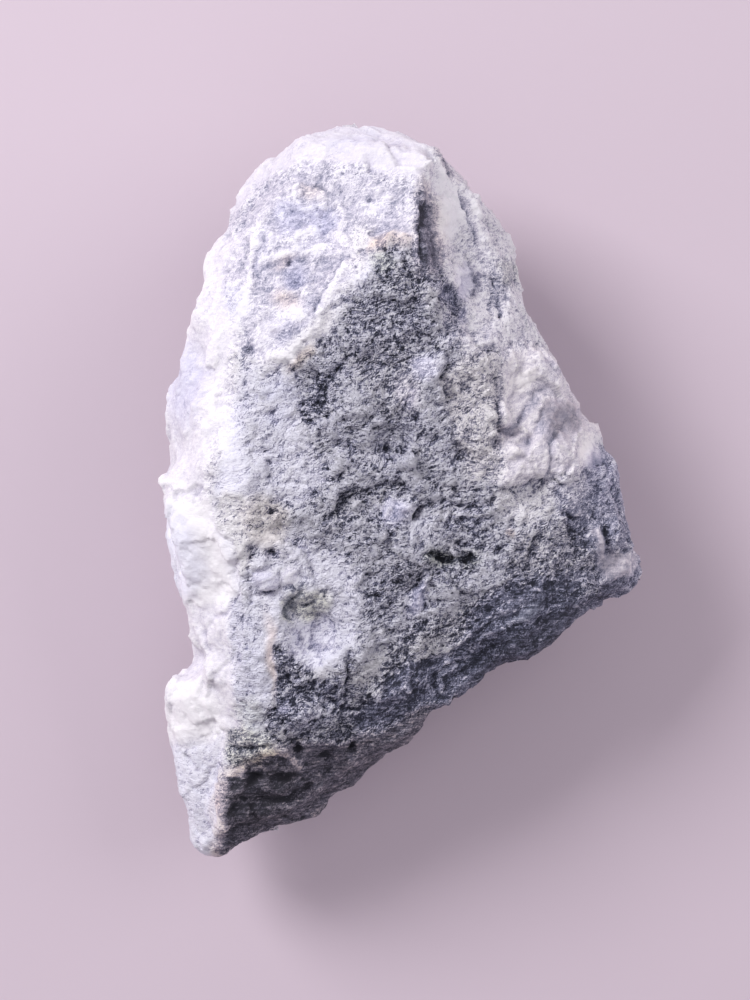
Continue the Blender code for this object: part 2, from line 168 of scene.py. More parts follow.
markings = {
    "topCap": dict(outline=[(215, 250), (262, 185), (300, 168), (360, 172), (415, 185), (440, 175),
        (460, 190), (475, 140), (375, 80), (175, 120)], soft=1.2, tone=0.82, grain=0.03, chip=0.6, web=0.05,
        blue=0.1),
    "rightFlank": dict(outline=[(420, 185), (436, 272), (460, 300), (450, 345), (490, 362), (500, 345),
        (595, 340), (625, 100), (455, 100)], soft=0.8, tone=0.85, grain=0.42, chip=0.6, web=0.25, down=0.4,
        blue=0.15),
    "upperLeftFace": dict(outline=[(233, 225), (262, 185), (300, 168), (360, 172), (415, 185), (418, 235),
        (390, 243), (372, 262), (350, 290), (322, 322), (302, 350), (290, 368), (262, 372), (243, 349),
        (228, 290)], soft=0.9, tone=0.7, grain=0.24, chip=0.4, web=0.8, rise=0.2, blue=0.2),
    "leftFace": dict(outline=[(240, 235), (228, 290), (243, 349), (236, 390), (222, 432), (214, 480),
        (212, 512), (228, 550), (234, 580), (238, 620), (248, 660), (262, 690), (240, 735), (222, 770),
        (217, 800), (216, 835), (205, 865), (115, 880), (115, 235)], soft=0.9, tone=0.85, grain=0.05,
        chip=0.45, web=0.1, down=0.3, blue=0.05),
    "foldedChunk": dict(outline=[(500, 345), (497, 380), (494, 440), (498, 487), (548, 483), (585, 470),
        (600, 440), (635, 400), (595, 340)], soft=1.1, tone=0.8, grain=0.15, chip=0.8, rise=0.15, blue=0,
        warm=0.12),
    "corner": dict(outline=[(548, 483), (560, 520), (575, 578), (600, 600), (675, 620), (675, 460),
        (600, 440), (585, 470)], soft=1.2, tone=0.42, grain=0.45, chip=0.6, down=0.5, blue=0.35),
    "lowerSlope": dict(outline=[(262, 665), (348, 671), (431, 624), (504, 588), (587, 578), (587, 614),
        (452, 697), (358, 739), (275, 744), (240, 740)], soft=0.8, tone=0.38, grain=1, slope=0.9, blue=0.3),
    # the steep side faces away from the light: its low tone is partly the stone's own dark and partly painted
    # shade, and its warm tint is painted warm bounce light
    "steepBand": dict(outline=[(226, 770), (275, 744), (358, 739), (452, 697), (587, 614), (640, 585),
        (670, 640), (635, 900), (195, 900), (216, 835), (217, 800)], soft=0.7, tone=0.15, grain=0.3, chip=0.5,
        slope=1.1, blue=0, warm=0.8),
    # shades of the dark face, from its top
    "underRidge": dict(outline=[(318, 352), (335, 330), (352, 312), (372, 292), (392, 262), (412, 262),
        (440, 275), (462, 290), (462, 345), (430, 342), (400, 345), (375, 352), (345, 350)], soft=0.9,
        tone=0.54),
    "crumbsByRidge": dict(spot=(362, 286, 1.6, 1, 45), tone=0.84),
    "underTopCrumbs": dict(spot=(384, 262, 1.2, 1, 0), tone=0.5, green=0.5),
    "topCrumbs": dict(spot=(403, 252, 1, 1.3, 0), tone=0.74),
    "darkFoot": dict(spot=(417, 277, 1.9, 1, -10), tone=0.26),
    "darkFootRight": dict(spot=(436, 277, 0.9, 1.8, 0), soft=0.6, tone=0.44),
    "footCrumb": dict(spot=(428, 300, 1, 1.6, 20), tone=0.6, blue=0.5),
    "footShade": dict(spot=(450, 296, 1.5, 1, -35), tone=0.36, grain=0.5),
    "slateBand": dict(spot=(403, 281, 2.4, 1.4, 0), soft=0.6, tone=0.36, blue=0.5),
    "greyUnderTop": dict(outline=[(350, 355), (415, 352), (418, 392), (372, 398), (355, 380)], soft=0.6,
        tone=0.5, blue=0.5),
    "ridgePitShade": dict(spot=(372, 316, 1.3, 1.2, 0), tone=0.4),
    "slateTop": dict(spot=(411, 312, 1.3, 1.2, 0), tone=0.42, blue=0.8),
    "crumbTop": dict(spot=(435, 322, 1.2, 1.3, 0), tone=0.7),
    "slateTopLow": dict(spot=(395, 350, 1.3, 1, 30), tone=0.38, blue=0.5),
    "paleOverSeam": dict(spot=(458, 478, 1.5, 1.5, 0), soft=0.6, tone=0.88),
    "paleUnderBrown": dict(spot=(335, 552, 2, 1.2, 0), soft=0.7, tone=0.84),
    "paleOverDish": dict(spot=(368, 562, 1.3, 0.8, 0), soft=0.6, tone=0.8),
    "paleMiddleLow": dict(spot=(450, 603, 1.9, 1.3, 20), soft=0.7, tone=0.9),
    "smoothPatch": dict(spot=(425, 368, 1.8, 1.3, 30), tone=0.64, grain=0.4),
    "smoothPatchLow": dict(spot=(406, 392, 1.2, 1.8, 20), soft=0.6, tone=0.78, grain=0.6, warm=0.2),
    "rightOfPatch": dict(spot=(452, 378, 0.7, 1.8, 0), tone=0.85),
    "paleBesideSide": dict(spot=(432, 402, 1.4, 0.9, 10), soft=0.6, tone=1),
    "fibrousSide": dict(outline=[(440, 385), (465, 350), (500, 352), (500, 480), (470, 485), (455, 440)],
        soft=0.9, tone=0.75, grain=0.75, down=0.8, blue=0.1, warm=0.1),
    "darkOnSide": dict(spot=(457, 456, 0.9, 1.2, 0), tone=0.55),
    "shelfPale": dict(spot=(492, 335, 1.4, 1.4, 0), soft=0.6, tone=0.8, grain=0.3),
    "blueLeft": dict(outline=[(262, 390), (280, 376), (300, 385), (296, 400), (282, 402), (268, 402)],
        soft=0.4, tone=0.84, grain=0.7, blue=1),
    "blueLeftLow": dict(spot=(275, 417, 1.1, 0.9, 0), tone=0.78, blue=1),
    "darkCleft": dict(outline=[(346, 350), (344, 366), (334, 384), (328, 408), (318, 428), (302, 424),
        (294, 406), (312, 392), (318, 376), (334, 362)], tone=0.38, grain=0.9),
    "ridgeFoot": dict(spot=(298, 366, 2.6, 0.8, 28), soft=0.4, tone=1),
    "blackSpeckEdge": dict(spot=(296, 377, 1.2, 0.6, -20), soft=0.4, tone=0.56),
    "lightRise": dict(spot=(354, 396, 1.3, 0.9, 20), tone=0.62),
    "darkByArc": dict(spot=(391, 386, 0.9, 0.7, 0), tone=0.42),
    "paleByWhiskers": dict(spot=(360, 437, 1.2, 0.8, 20), soft=0.6, tone=0.8),
    "darkDiagonal": dict(outline=[(366, 378), (388, 388), (402, 400), (402, 425), (384, 420), (370, 402)],
        soft=0.6, tone=0.6, blue=0.5),
    "blueMiddle": dict(outline=[(366, 410), (392, 416), (412, 428), (408, 456), (396, 478), (382, 462),
        (368, 440)], soft=0.8, tone=0.67, blue=0.9),
    "blueBelowCleft": dict(spot=(335, 425, 1.8, 1.2, 20), soft=0.7, tone=0.74, blue=0.9),
    "paleLeft": dict(outline=[(232, 345), (262, 368), (300, 370), (300, 425), (310, 445), (325, 478),
        (300, 508), (262, 495), (236, 520), (208, 505), (208, 470), (222, 420)], soft=0.8, tone=0.92,
        grain=0.6, down=0.3),
    "brownCrumbs": dict(spot=(265, 522, 2.4, 2.6, 10), soft=0.8, tone=1.03, warm=0.22, blue=0),
    "brownDark": dict(spot=(274, 514, 1.2, 0.9, 0), tone=0.8, warm=0.28, blue=0),
    "paleByBrown": dict(spot=(297, 526, 1.7, 1.3, 30), soft=0.6, tone=1.2),
    "darkCluster": dict(spot=(315, 494, 1.3, 0.7, 10), tone=0.58),
    "paleUnderBrownLow": dict(spot=(270, 540, 2.4, 0.9, 10), soft=0.6, tone=1.2, grain=0.6),
    "seamShade": dict(outline=[(322, 530), (332, 506), (352, 488), (388, 488), (384, 502), (354, 506),
        (342, 528)], tone=0.47, blue=0.5),
    "seamSmooth": dict(spot=(394, 512, 1.6, 1.2, 30), soft=0.4, tone=0.62, grain=0.3),
    "paleCrumbs": dict(spot=(418, 526, 1.5, 1.5, 20), soft=0.6, tone=0.8, grain=0.8),
    "darkRight": dict(spot=(466, 530, 2.2, 1.5, 10), soft=0.7, tone=0.45),
    "greenPits": dict(spot=(440, 558, 1.5, 1, -10), tone=0.22, green=0.7),
    "greenPitsRight": dict(spot=(466, 561, 1.2, 0.9, 15), tone=0.2, green=0.5),
    "greenPitsMiddle": dict(spot=(452, 553, 0.5, 0.5, 0), soft=0.4, tone=0.62),
    "underPits": dict(spot=(452, 569, 2.3, 0.7, 0), tone=0.24),
    "underPitsLeft": dict(spot=(408, 577, 1.7, 1.4, 20), soft=0.6, tone=0.36, blue=0.5),
    "underPitsRight": dict(spot=(452, 577, 1.3, 0.8, 0), tone=0.38),
    "paleSpeck": dict(spot=(495, 577, 1.6, 0.8, 25), tone=0.74),
    "darkLowerLeft": dict(spot=(380, 605, 1.3, 2.2, -10), soft=0.6, tone=0.45, blue=0.8),
    "slab": dict(spot=(417, 597, 0.6, 2, -20), soft=0.3, tone=0.48, grain=0.3),
    "paleUnderSlab": dict(spot=(432, 646, 2, 1.1, 20), soft=0.6, tone=0.86),
    "paleRise": dict(spot=(372, 655, 1.5, 2, -20), soft=0.6, tone=1.1),
    "paleRiseLow": dict(spot=(358, 682, 1.2, 0.8, 0), tone=0.85),
    "underChunk": dict(outline=[(500, 492), (550, 486), (556, 520), (530, 525), (505, 520), (492, 505)],
        soft=0.7, tone=0.94, grain=0.7, blue=0.15),
    "paleUnderLedge": dict(spot=(502, 521, 1.5, 0.9, 0), soft=0.6, tone=0.9),
    "rightLow": dict(outline=[(520, 530), (560, 520), (598, 560), (600, 600), (515, 595), (508, 565)], soft=1,
        tone=0.43, grain=0.8, blue=0.2),
    "rightDark": dict(spot=(517, 575, 1.3, 0.9, 10), tone=0.36),
    "rightDarkLow": dict(spot=(570, 585, 2.4, 1.4, 30), soft=0.7, tone=0.3, grain=0.5),
    "tanSpot": dict(spot=(512, 532, 0.4, 0.5, 0), soft=0.25, tone=0.9, warm=1, strength=0.8),
    # left of the dish, the dish and the hollow under it
    "lowerPale": dict(outline=[(240, 560), (300, 543), (345, 556), (362, 580), (358, 625), (352, 650),
        (322, 676), (296, 655), (280, 645), (262, 660), (246, 640)], soft=0.7, tone=0.97, grain=0.6),
    "ledgePitLeft": dict(spot=(250, 553, 1.2, 0.5, 30), soft=0.3, tone=0.6),
    "ledgePitRight": dict(spot=(271, 553, 1, 0.6, 10), soft=0.3, tone=0.58, warm=0.2),
    "dishFloor": dict(spot=(315, 640, 2.4, 2.6, 20), soft=0.6, tone=0.9, grain=0.42),
    "dishGreen": dict(spot=(312, 606, 1.8, 1.6, 10), soft=0.6, tone=0.72, grain=0.5, green=0.5, blue=0),
    "dishShade": dict(outline=[(300, 588), (308, 592), (303, 600), (297, 603), (299, 610), (291, 613),
        (292, 622), (285, 625), (279, 616), (283, 607), (281, 600), (290, 597), (292, 591)], soft=0.3,
        tone=0.46, grain=0.3, green=0.6, blue=0),
    "dishShadeTop": dict(spot=(297, 587, 1.2, 0.4, 25), soft=0.3, tone=0.5, green=0.3),
    "dishRim": dict(outline=[(322, 575), (345, 570), (352, 600), (354, 640), (338, 660), (330, 655),
        (338, 625)], soft=0.6, tone=0.93, grain=0.6),
    "lavenderLump": dict(spot=(264, 578, 1.2, 0.9, 0), soft=0.25, tone=0.78, grain=0.15, blue=0.7),
    "lavenderLumpRight": dict(spot=(288, 575, 0.9, 0.9, 0), soft=0.3, tone=0.8, grain=0.2, blue=0.4),
    "hollowDark": dict(outline=[(276, 645), (296, 660), (315, 682), (330, 672), (350, 672), (352, 710),
        (335, 722), (300, 735), (268, 725), (272, 690)], soft=0.6, tone=0.34, grain=0.9, blue=0.7),
    "hollowGrey": dict(spot=(316, 712, 2.2, 1, 20), tone=0.38, grain=0.8, blue=0.6),
    "hollowPale": dict(spot=(287, 708, 0.6, 0.5, 0), soft=0.3, tone=0.44, grain=0.4),
    "hollowFoot": dict(spot=(334, 738, 1.7, 0.8, 10), tone=0.18),
    "slopeDark": dict(outline=[(380, 690), (410, 662), (450, 652), (480, 605), (510, 582), (560, 576),
        (590, 600), (452, 697), (360, 735), (350, 715)], soft=0.7, tone=0.14, grain=0.45),
    "slopeSlab": dict(spot=(528, 612, 1.9, 0.6, 35), soft=0.3, tone=0.2, grain=0.2, green=0.3),
    # the steep side below
    # painted shade and light: the low tones here are partly the stone's own dark and partly painted shade,
    # and the warm tint of this spot and the rim below is painted warm bounce light
    "steepDark": dict(spot=(262, 795, 4, 2.4, 30), soft=0.9, tone=0, grain=0.3, warm=1),
    "steepPaleVein": dict(spot=(290, 757, 1.7, 0.4, -48), soft=0.3, tone=0.42),
    "steepPaleEdge": dict(spot=(295, 815, 4.2, 0.4, 35), soft=0.4, tone=0.14),
    "lowerRim": dict(outline=[(425, 712), (455, 686), (510, 641), (560, 611), (600, 594), (612, 606),
        (560, 640), (500, 680), (440, 725)], tone=0.06, grain=0.3, warm=0.3),
    "tipDark": dict(spot=(212, 843, 1.6, 1.2, 0), tone=0),
    "tipInner": dict(spot=(233, 769, 1.3, 0.9, 20), soft=0.4, tone=0.85),
    "greenGrey": dict(outline=[(230, 730), (250, 720), (272, 735), (278, 752), (262, 765), (236, 765),
        (226, 752)], tone=0.48, grain=0.6, green=0.5, blue=0),
    "paleByVein": dict(spot=(273, 746, 0.8, 0.7, 0), tone=0.7),
    "greyOverGreen": dict(spot=(250, 712, 1.4, 1.3, 0), soft=0.7, tone=0.7, grain=0.6, green=0.4),
    # the apex and the side right of it
    # painted shade on the wall right of the apex, which faces away from the light: the wall, its deepest part
    # and its lip
    "apexWall": dict(outline=[(421, 178), (429, 186), (440, 205), (444, 235), (442, 268), (420, 276),
        (416, 250), (417, 205)], soft=0.9, tone=0.58, grain=0.25, down=0.8, blue=0, warm=0.4),
    "apexWallShadow": dict(outline=[(417, 200), (428, 205), (434, 235), (436, 268), (420, 272), (417, 240)],
        soft=0.4, tone=0.22),
    "apexWallLip": dict(spot=(422, 212, 0.45, 1.5, 0), tone=0.22, grain=0.3),
    "flankUpper": dict(spot=(452, 216, 1.1, 2.4, -5), soft=0.7, tone=1.12, grain=0.2),
    "flankTopPale": dict(spot=(449, 192, 1, 3.6, 15), soft=0.6, tone=1.05, grain=0.2),
    "flankLowShade": dict(spot=(494, 282, 1.4, 2.4, 10), soft=0.8, tone=0.52),
    "flankFoot": dict(spot=(443, 341, 1.8, 1, 0), soft=0.6, tone=0.6),
    # painted shadow at the foot of a step
    "wallFootShadow": dict(spot=(450, 322, 0.9, 2, 0), soft=0.6, tone=0.5, grain=0.6, blue=0.4),
    "rustCrumbs": dict(spot=(384, 244, 1.5, 0.7, 20), soft=0.35, tone=0.62, warm=1, strength=0.9),
    "rustSpot": dict(spot=(403, 240, 1, 0.8, 0), soft=0.4, tone=0.76, warm=0.8, strength=0.7),
    "rustGap": dict(spot=(382, 251, 0.7, 0.25, 10), soft=0.3, tone=0.3, warm=0.4),
    "rustGapLeft": dict(spot=(371, 247, 0.3, 0.3, 0), soft=0.3, tone=0.36),
    "capGrey": dict(spot=(350, 140, 2.8, 1, 5), soft=0.8, tone=0.86, blue=0.6),
    "flankGreyEdge": dict(spot=(510, 272, 1.2, 1.2, 0), soft=0.6, tone=0.66, green=0.3),
    "flankBlueGlass": dict(spot=(466, 280, 1, 1.7, 0), soft=0.3, tone=0.82, grain=0.05, blue=0.5),
    "flankCrackShade": dict(spot=(476, 225, 0.7, 2.8, 20), tone=0.82, grain=0.3),
    "flankDarkSpots": dict(spot=(462, 315, 0.8, 0.7, 0), soft=0.4, tone=0.42, blue=0.9),
    # painted shade on the underside of the overhang
    "overhang": dict(spot=(445, 163, 0.35, 2, 32), soft=0.25, tone=0.5, grain=0.3, warm=0.3),
    # the upper left face
    "blueTopA": dict(spot=(291, 218, 1.7, 1.9, 30), soft=0.7, tone=0.68, blue=1),
    "blueTopB": dict(spot=(322, 221, 1.5, 1.6, 0), soft=0.6, tone=0.79, blue=1),
    "greyTopC": dict(spot=(267, 245, 0.9, 2.2, -20), soft=0.6, tone=0.72, blue=0.5),
    "greyTopD": dict(spot=(308, 246, 2.2, 0.7, 8), tone=0.8, blue=0.5),
    "blueTopE": dict(spot=(296, 277, 1.2, 1.4, 20), soft=0.6, tone=0.64, blue=1),
    "greyTopF": dict(spot=(300, 306, 2, 0.8, 10), tone=0.56, blue=0.5),
    "greyTopG": dict(spot=(292, 333, 2, 1, 30), soft=0.6, tone=0.6, blue=0.5),
    "greyTopH": dict(spot=(248, 346, 0.8, 1.3, 0), soft=0.4, tone=0.7, blue=0.3),
    "greyTopI": dict(spot=(236, 300, 1.2, 1.8, 0), soft=0.6, tone=0.85, blue=0.7),
    "greyTopJ": dict(spot=(378, 214, 1.5, 1.3, 0), soft=0.7, tone=0.76, blue=0.4),
    "greyTopK": dict(spot=(264, 345, 1, 0.6, 20), soft=0.4, tone=0.78, blue=0.3),
    "groovePale": dict(spot=(362, 243, 1.3, 2.2, -20), soft=0.7, tone=0.84, grain=0.4, blue=0),
    "ridgePale": dict(spot=(308, 338, 4.6, 0.9, 42), soft=0.4, tone=0.93, grain=0.3, rise=0.3, blue=0.1),
    "ridgeUpper": dict(spot=(362, 276, 2.6, 0.6, 50), tone=0.88, grain=0.4),
    "palePlate": dict(spot=(270, 328, 1.5, 0.8, 20), soft=0.4, tone=0.76, grain=0.15),
    "peachTop": dict(spot=(286, 299, 1.4, 0.9, -20), soft=0.6, tone=0.62, warm=0.7, blue=0, strength=0.8),
    "peachCap": dict(spot=(311, 190, 1.2, 0.8, -20), warm=0.6, blue=0, strength=0.7),
    "peachNet": dict(spot=(283, 263, 1, 0.4, 20), soft=0.4, warm=0.6, strength=0.7),
    "beigeStreak": dict(spot=(300, 360, 1.6, 0.6, 48), soft=0.4, tone=0.86, warm=0.6, blue=0),
    "greyInner": dict(spot=(291, 313, 1.6, 1.3, 0), soft=0.7, tone=0.92, blue=0.4),
    # the left face
    "outerBlue": dict(outline=[(150, 500), (185, 510), (200, 545), (205, 575), (190, 600), (150, 600)],
        soft=1, tone=1, grain=0.25, blue=0.7),
    "outerBlueTop": dict(spot=(186, 385, 1.6, 4, -10), soft=1, tone=0.8, blue=0.8),
    "leftLow": dict(outline=[(172, 505), (226, 508), (238, 560), (236, 600), (190, 600)], soft=1, tone=1.26,
        grain=0.12),
    "whiteLow": dict(spot=(196, 722, 3, 3.6, 0), soft=1, tone=1, grain=0.05),
    "leftInner": dict(spot=(226, 432, 1.3, 6, 8), soft=1, tone=0.92, grain=0.08),
    "innerGrey": dict(outline=[(226, 490), (250, 500), (250, 560), (238, 575), (228, 540), (214, 512)],
        soft=0.6, tone=0.94, grain=0.6, blue=0),
    "blueFibres": dict(outline=[(228, 600), (250, 600), (262, 640), (272, 690), (262, 735), (238, 720),
        (230, 650)], soft=0.6, tone=0.98, grain=0.6, down=1, blue=0.9),
    "paleStrip": dict(spot=(266, 655, 0.8, 2.3, 0), tone=1.25),
    "peachStreak": dict(spot=(271, 655, 0.5, 3.4, 5), soft=0.35, tone=1.05, grain=0.3, warm=0.9,
        strength=0.9),
    "tipFibres": dict(outline=[(160, 745), (220, 740), (224, 790), (216, 860), (190, 860), (165, 800)],
        soft=1, tone=0.99, grain=0.35, down=0.8, blue=0.7),
    # the folded white chunk and the corner
    # painted shade in the chunk's hollow and, in the chunkShade spots below, on its facets turned from the
    # light
    "chunkHollowShadow": dict(spot=(508, 432, 1, 0.6, -20), soft=0.4, tone=0.42, warm=0.5),
    "chunkWarmSide": dict(spot=(562, 418, 1.8, 1.8, 20), soft=0.8, tone=0.54, warm=0.5, grain=0.05),
    "smudge": dict(spot=(566, 418, 0.6, 0.5, 0), tone=0.45, warm=0.6),
    "chunkShadeF": dict(spot=(553, 432, 0.8, 1.5, 0), tone=0.56),
    "chunkTopWhite": dict(spot=(521, 384, 1.8, 0.9, 30), tone=1),
    "chunkShadeA": dict(spot=(528, 411, 1.9, 0.35, 47), soft=0.35, tone=0.54),
    "chunkShadeB": dict(spot=(547, 424, 1.8, 0.45, 66), soft=0.4, tone=0.5),
    "chunkShadeC": dict(spot=(551, 456, 0.3, 1.6, 0), soft=0.35, tone=0.64),
    "chunkShadeD": dict(spot=(499, 408, 0.3, 3, 0), soft=0.4, tone=0.5),
    "chunkShadeE": dict(spot=(528, 449, 0.25, 1.2, -20), soft=0.3, tone=0.68),
    "chunkGreyTop": dict(spot=(548, 368, 1.4, 0.8, -40), soft=0.6, tone=0.76, grain=0.25, blue=0.3),
    "smoothEdge": dict(spot=(602, 434, 2, 2, 0), soft=1, chip=0.1),
    "chunkLowShade": dict(spot=(556, 472, 1.1, 1.6, 0), soft=0.6, tone=0.74),
    "chunkFootPale": dict(spot=(518, 470, 2.6, 0.9, 5), soft=0.6, tone=0.76),
    "chunkRightPale": dict(spot=(592, 444, 1.2, 1.1, 40), soft=0.6, tone=0.95),
    "cornerTopPale": dict(spot=(590, 456, 1.2, 1, 0), tone=1.15, grain=0.05, blue=0),
    "cornerPale": dict(outline=[(597, 530), (605, 534), (610, 556), (634, 552), (630, 568), (613, 586),
        (600, 576)], tone=0.64, grain=0.12, blue=0, warm=0.2),
    "cornerBlue": dict(spot=(603, 482, 1.6, 3, 15), soft=0.8, tone=0.46, blue=0.8),
    "cornerJoin": dict(spot=(573, 486, 1.3, 1.7, 0), soft=0.6, tone=0.72),
    "cornerStreak": dict(spot=(574, 532, 1, 1.8, 15), soft=0.6, tone=0.26),
    "cornerDark": dict(spot=(616, 537, 1, 1.5, -20), tone=0.3),
    "cornerUnder": dict(spot=(606, 596, 4.2, 0.9, 28), soft=0.4, tone=0.2, slope=0.3),
}

# small pits and pale crumbs: place and half size; the pits are painted dark, partly their own dark and partly
# painted shade in them
pits = [
    (270, 380, 0.45), (277, 374, 0.4), (292, 372, 0.4), (298, 378, 0.35), (318, 378, 0.3), (335, 371, 0.5),
    (328, 380, 0.4), (322, 391, 0.4), (320, 402, 0.45), (304, 402, 0.35), (302, 414, 0.4), (312, 424, 0.4),
    (272, 415, 0.45), (276, 422, 0.4), (292, 423, 0.3), (347, 422, 0.4), (350, 430, 0.35), (372, 416, 0.35),
    (264, 452, 0.3), (269, 466, 0.4), (269, 481, 0.4), (312, 458, 0.3), (346, 450, 0.35), (388, 452, 0.4),
    (403, 448, 0.35), (386, 387, 0.4), (406, 404, 0.35), (340, 475, 0.45), (312, 493, 0.5), (320, 492, 0.35),
    (262, 510, 0.35), (272, 516, 0.4), (281, 524, 0.35), (247, 555, 0.3), (271, 553, 0.35), (326, 550, 0.4),
    (333, 514, 0.6), (350, 500, 0.5), (410, 386, 0.4), (450, 370, 0.5), (444, 382, 0.4), (455, 430, 0.3),
    (460, 455, 0.45), (412, 468, 0.35), (455, 490, 0.45), (432, 505, 0.4), (487, 473, 0.35), (495, 502, 0.4),
    (495, 347, 0.35), (503, 352, 0.35), (232, 600, 0.35), (263, 593, 0.4), (271, 590, 0.35), (323, 598, 0.35),
    (350, 577, 0.3), (257, 631, 0.3), (234, 630, 0.25), (238, 660, 0.3), (277, 648, 0.35), (294, 655, 0.3),
    (303, 678, 0.4), (277, 707, 0.4), (266, 728, 0.45), (285, 725, 0.45), (298, 750, 0.6), (352, 748, 0.45),
    (325, 757, 0.55), (336, 690, 0.4), (362, 705, 0.4), (378, 597, 0.4), (365, 600, 0.35), (519, 577, 0.4),
    (491, 614, 0.35), (423, 660, 0.5), (452, 697, 0.4), (572, 518, 0.3), (460, 670, 0.35), (232, 785, 0.5),
    (222, 768, 0.3), (256, 781, 0.65), (284, 777, 0.6), (235, 808, 0.45), (310, 790, 0.5), (285, 815, 0.4),
    (268, 831, 0.3), (342, 192, 0.35), (370, 200, 0.3), (303, 192, 0.3), (293, 208, 0.35), (320, 208, 0.3),
    (288, 263, 0.25), (294, 279, 0.4), (247, 350, 0.35), (362, 297, 0.45), (302, 342, 0.25), (325, 345, 0.35),
    (354, 264, 0.2), (392, 252, 0.3), (381, 247, 0.35), (388, 249, 0.35), (397, 250, 0.35), (404, 253, 0.35),
    (375, 251, 0.3), (407, 262, 0.35), (385, 283, 0.3), (240, 263, 0.2), (440, 300, 0.35), (424, 192, 0.3),
    (502, 314, 0.3),
]
crumbs = [
    (325, 371, 0.4), (350, 394, 0.5), (314, 436, 0.4), (357, 441, 0.4), (335, 458, 0.5), (380, 417, 0.4),
    (336, 490, 0.5), (346, 486, 0.4), (357, 506, 0.45), (300, 515, 0.5), (380, 537, 0.4), (316, 534, 0.4),
    (407, 455, 0.4), (441, 372, 0.5), (480, 364, 0.4), (458, 392, 0.4), (487, 392, 0.4), (492, 416, 0.6),
    (456, 418, 0.4), (470, 420, 0.4), (495, 437, 0.45), (415, 447, 0.4), (450, 483, 0.5), (488, 512, 0.45),
    (510, 502, 0.5), (544, 515, 0.5), (520, 520, 0.4), (375, 690, 0.55), (383, 680, 0.4), (265, 700, 0.5),
    (330, 712, 0.4), (283, 754, 0.4), (497, 575, 0.45), (545, 552, 0.5), (535, 560, 0.4), (425, 290, 0.5),
    (378, 246, 0.45), (386, 241, 0.5), (393, 246, 0.35), (404, 236, 0.4), (371, 240, 0.4), (397, 238, 0.4),
    (411, 258, 0.4), (438, 322, 0.5),
]


def sideOfOutline(places, outline):
    # distance to the outline in mm, above 0 inside it
    corners = drawn(outline)
    nearest = np.full(len(places), 1e9)
    inside = np.zeros(len(places), bool)
    for start, end in zip(corners, np.roll(corners, -1, 0)):
        run = end - start
        t = np.clip(((places - start) @ run) / (run @ run), 0, 1)
        nearest = np.minimum(nearest, np.linalg.norm(places - start - t[:, None] * run, axis=1))
        crosses = (start[1] > places[:, 1]) != (end[1] > places[:, 1])
        rise = np.where(abs(run[1]) < 1e-9, 1e-9, run[1])
        inside ^= crosses & (places[:, 0] < start[0] + (places[:, 1] - start[1]) * run[0] / rise)
    return np.where(inside, nearest, -nearest)


def insideSpot(places, spot):
    # about the same for a turned oval
    long, short, turn = spot[2:]
    x, y = drawn(spot[:2])
    c, s = math.cos(math.radians(turn)), math.sin(math.radians(turn))
    dx, dy = places[:, 0] - x, places[:, 1] - y
    reach = np.hypot((dx * c + dy * s) / long, (dy * c - dx * s) / short)
    return (1 - reach) * min(long, short)


def speckShare(places, ragged, specks):
    share = np.zeros(len(places))
    for *place, size in specks:
        x, y = drawn(place)
        reach = np.hypot(places[:, 0] - x, places[:, 1] - y) / size
        share = np.maximum(share, np.exp(-reach ** 2))
    return share * ragged


def paint(places):
    channels = {name: np.full(len(places), start) for name, start in plainStone.items()}
    for marking in markings.values():
        if "outline" in marking:
            depth = sideOfOutline(places, marking["outline"])
        else:
            depth = insideSpot(places, marking["spot"])
        soft = marking.get("soft", usualSoft)
        share = eased(depth, -soft, soft) * marking.get("strength", 1)
        for name, values in channels.items():
            if name in marking:
                channels[name] = values + (marking[name] - values) * share
    return channels


# the hidden underside has no drawn markings: it carries on in the same stone, in large soft patches; each
# channel has its middle value, and then how far it swings, over what size in mm, and a seed
underside = {
    "tone": (0.62, (0.45, 9, 11), (0.2, 3.5, 12)), "grain": (0.55, (0.6, 7, 13)),
    "chip": (0.9, (0.5, 12, 14)), "web": (0.3, (0.5, 10, 15)), "down": (0.4,),
    "blue": (0.45, (0.7, 8, 16)), "warm": (0.05, (0.3, 14, 17)),
}
undersideEdge = (-0.05, 0.4)    # how far down a face looks where the underside begins, and where it is full
undersideMost = 1.2
rimKept = {"tone": 0.4}         # the rim's own shade still tells a little below it


def paintUnderside(channels, points, outward):
    under = eased(-outward[:, 2], *undersideEdge)
    for name, (middle, *swings) in underside.items():
        values = middle + sum(swing * wander(points, size, seed) for swing, size, seed in swings)
        kept = rimKept.get(name, 0)
        values = np.clip(values, 0, undersideMost) * (1 - kept) + channels[name] * kept
        channels[name] += (values - channels[name]) * under


# edges of markings and of chips wander, so none is straight: how far, over what size in mm, and a seed
bends = ((0.5, 2.2, 0), (0.25, 0.9, 3))

stone = makeBody()
print("body", len(stone.data.vertices), "points")
points = readVectors(stone, "co", mm)
outward = readVectors(stone, "normal")
warp = np.stack([sum(far * wander(points, size, axis + seed) for far, size, seed in bends)
                 for axis in (1, 2, 3)], 1)
places = sheetPlaces(points) + warp[:, :2]
channels = paint(places)
paintUnderside(channels, points, outward)
print("painted")
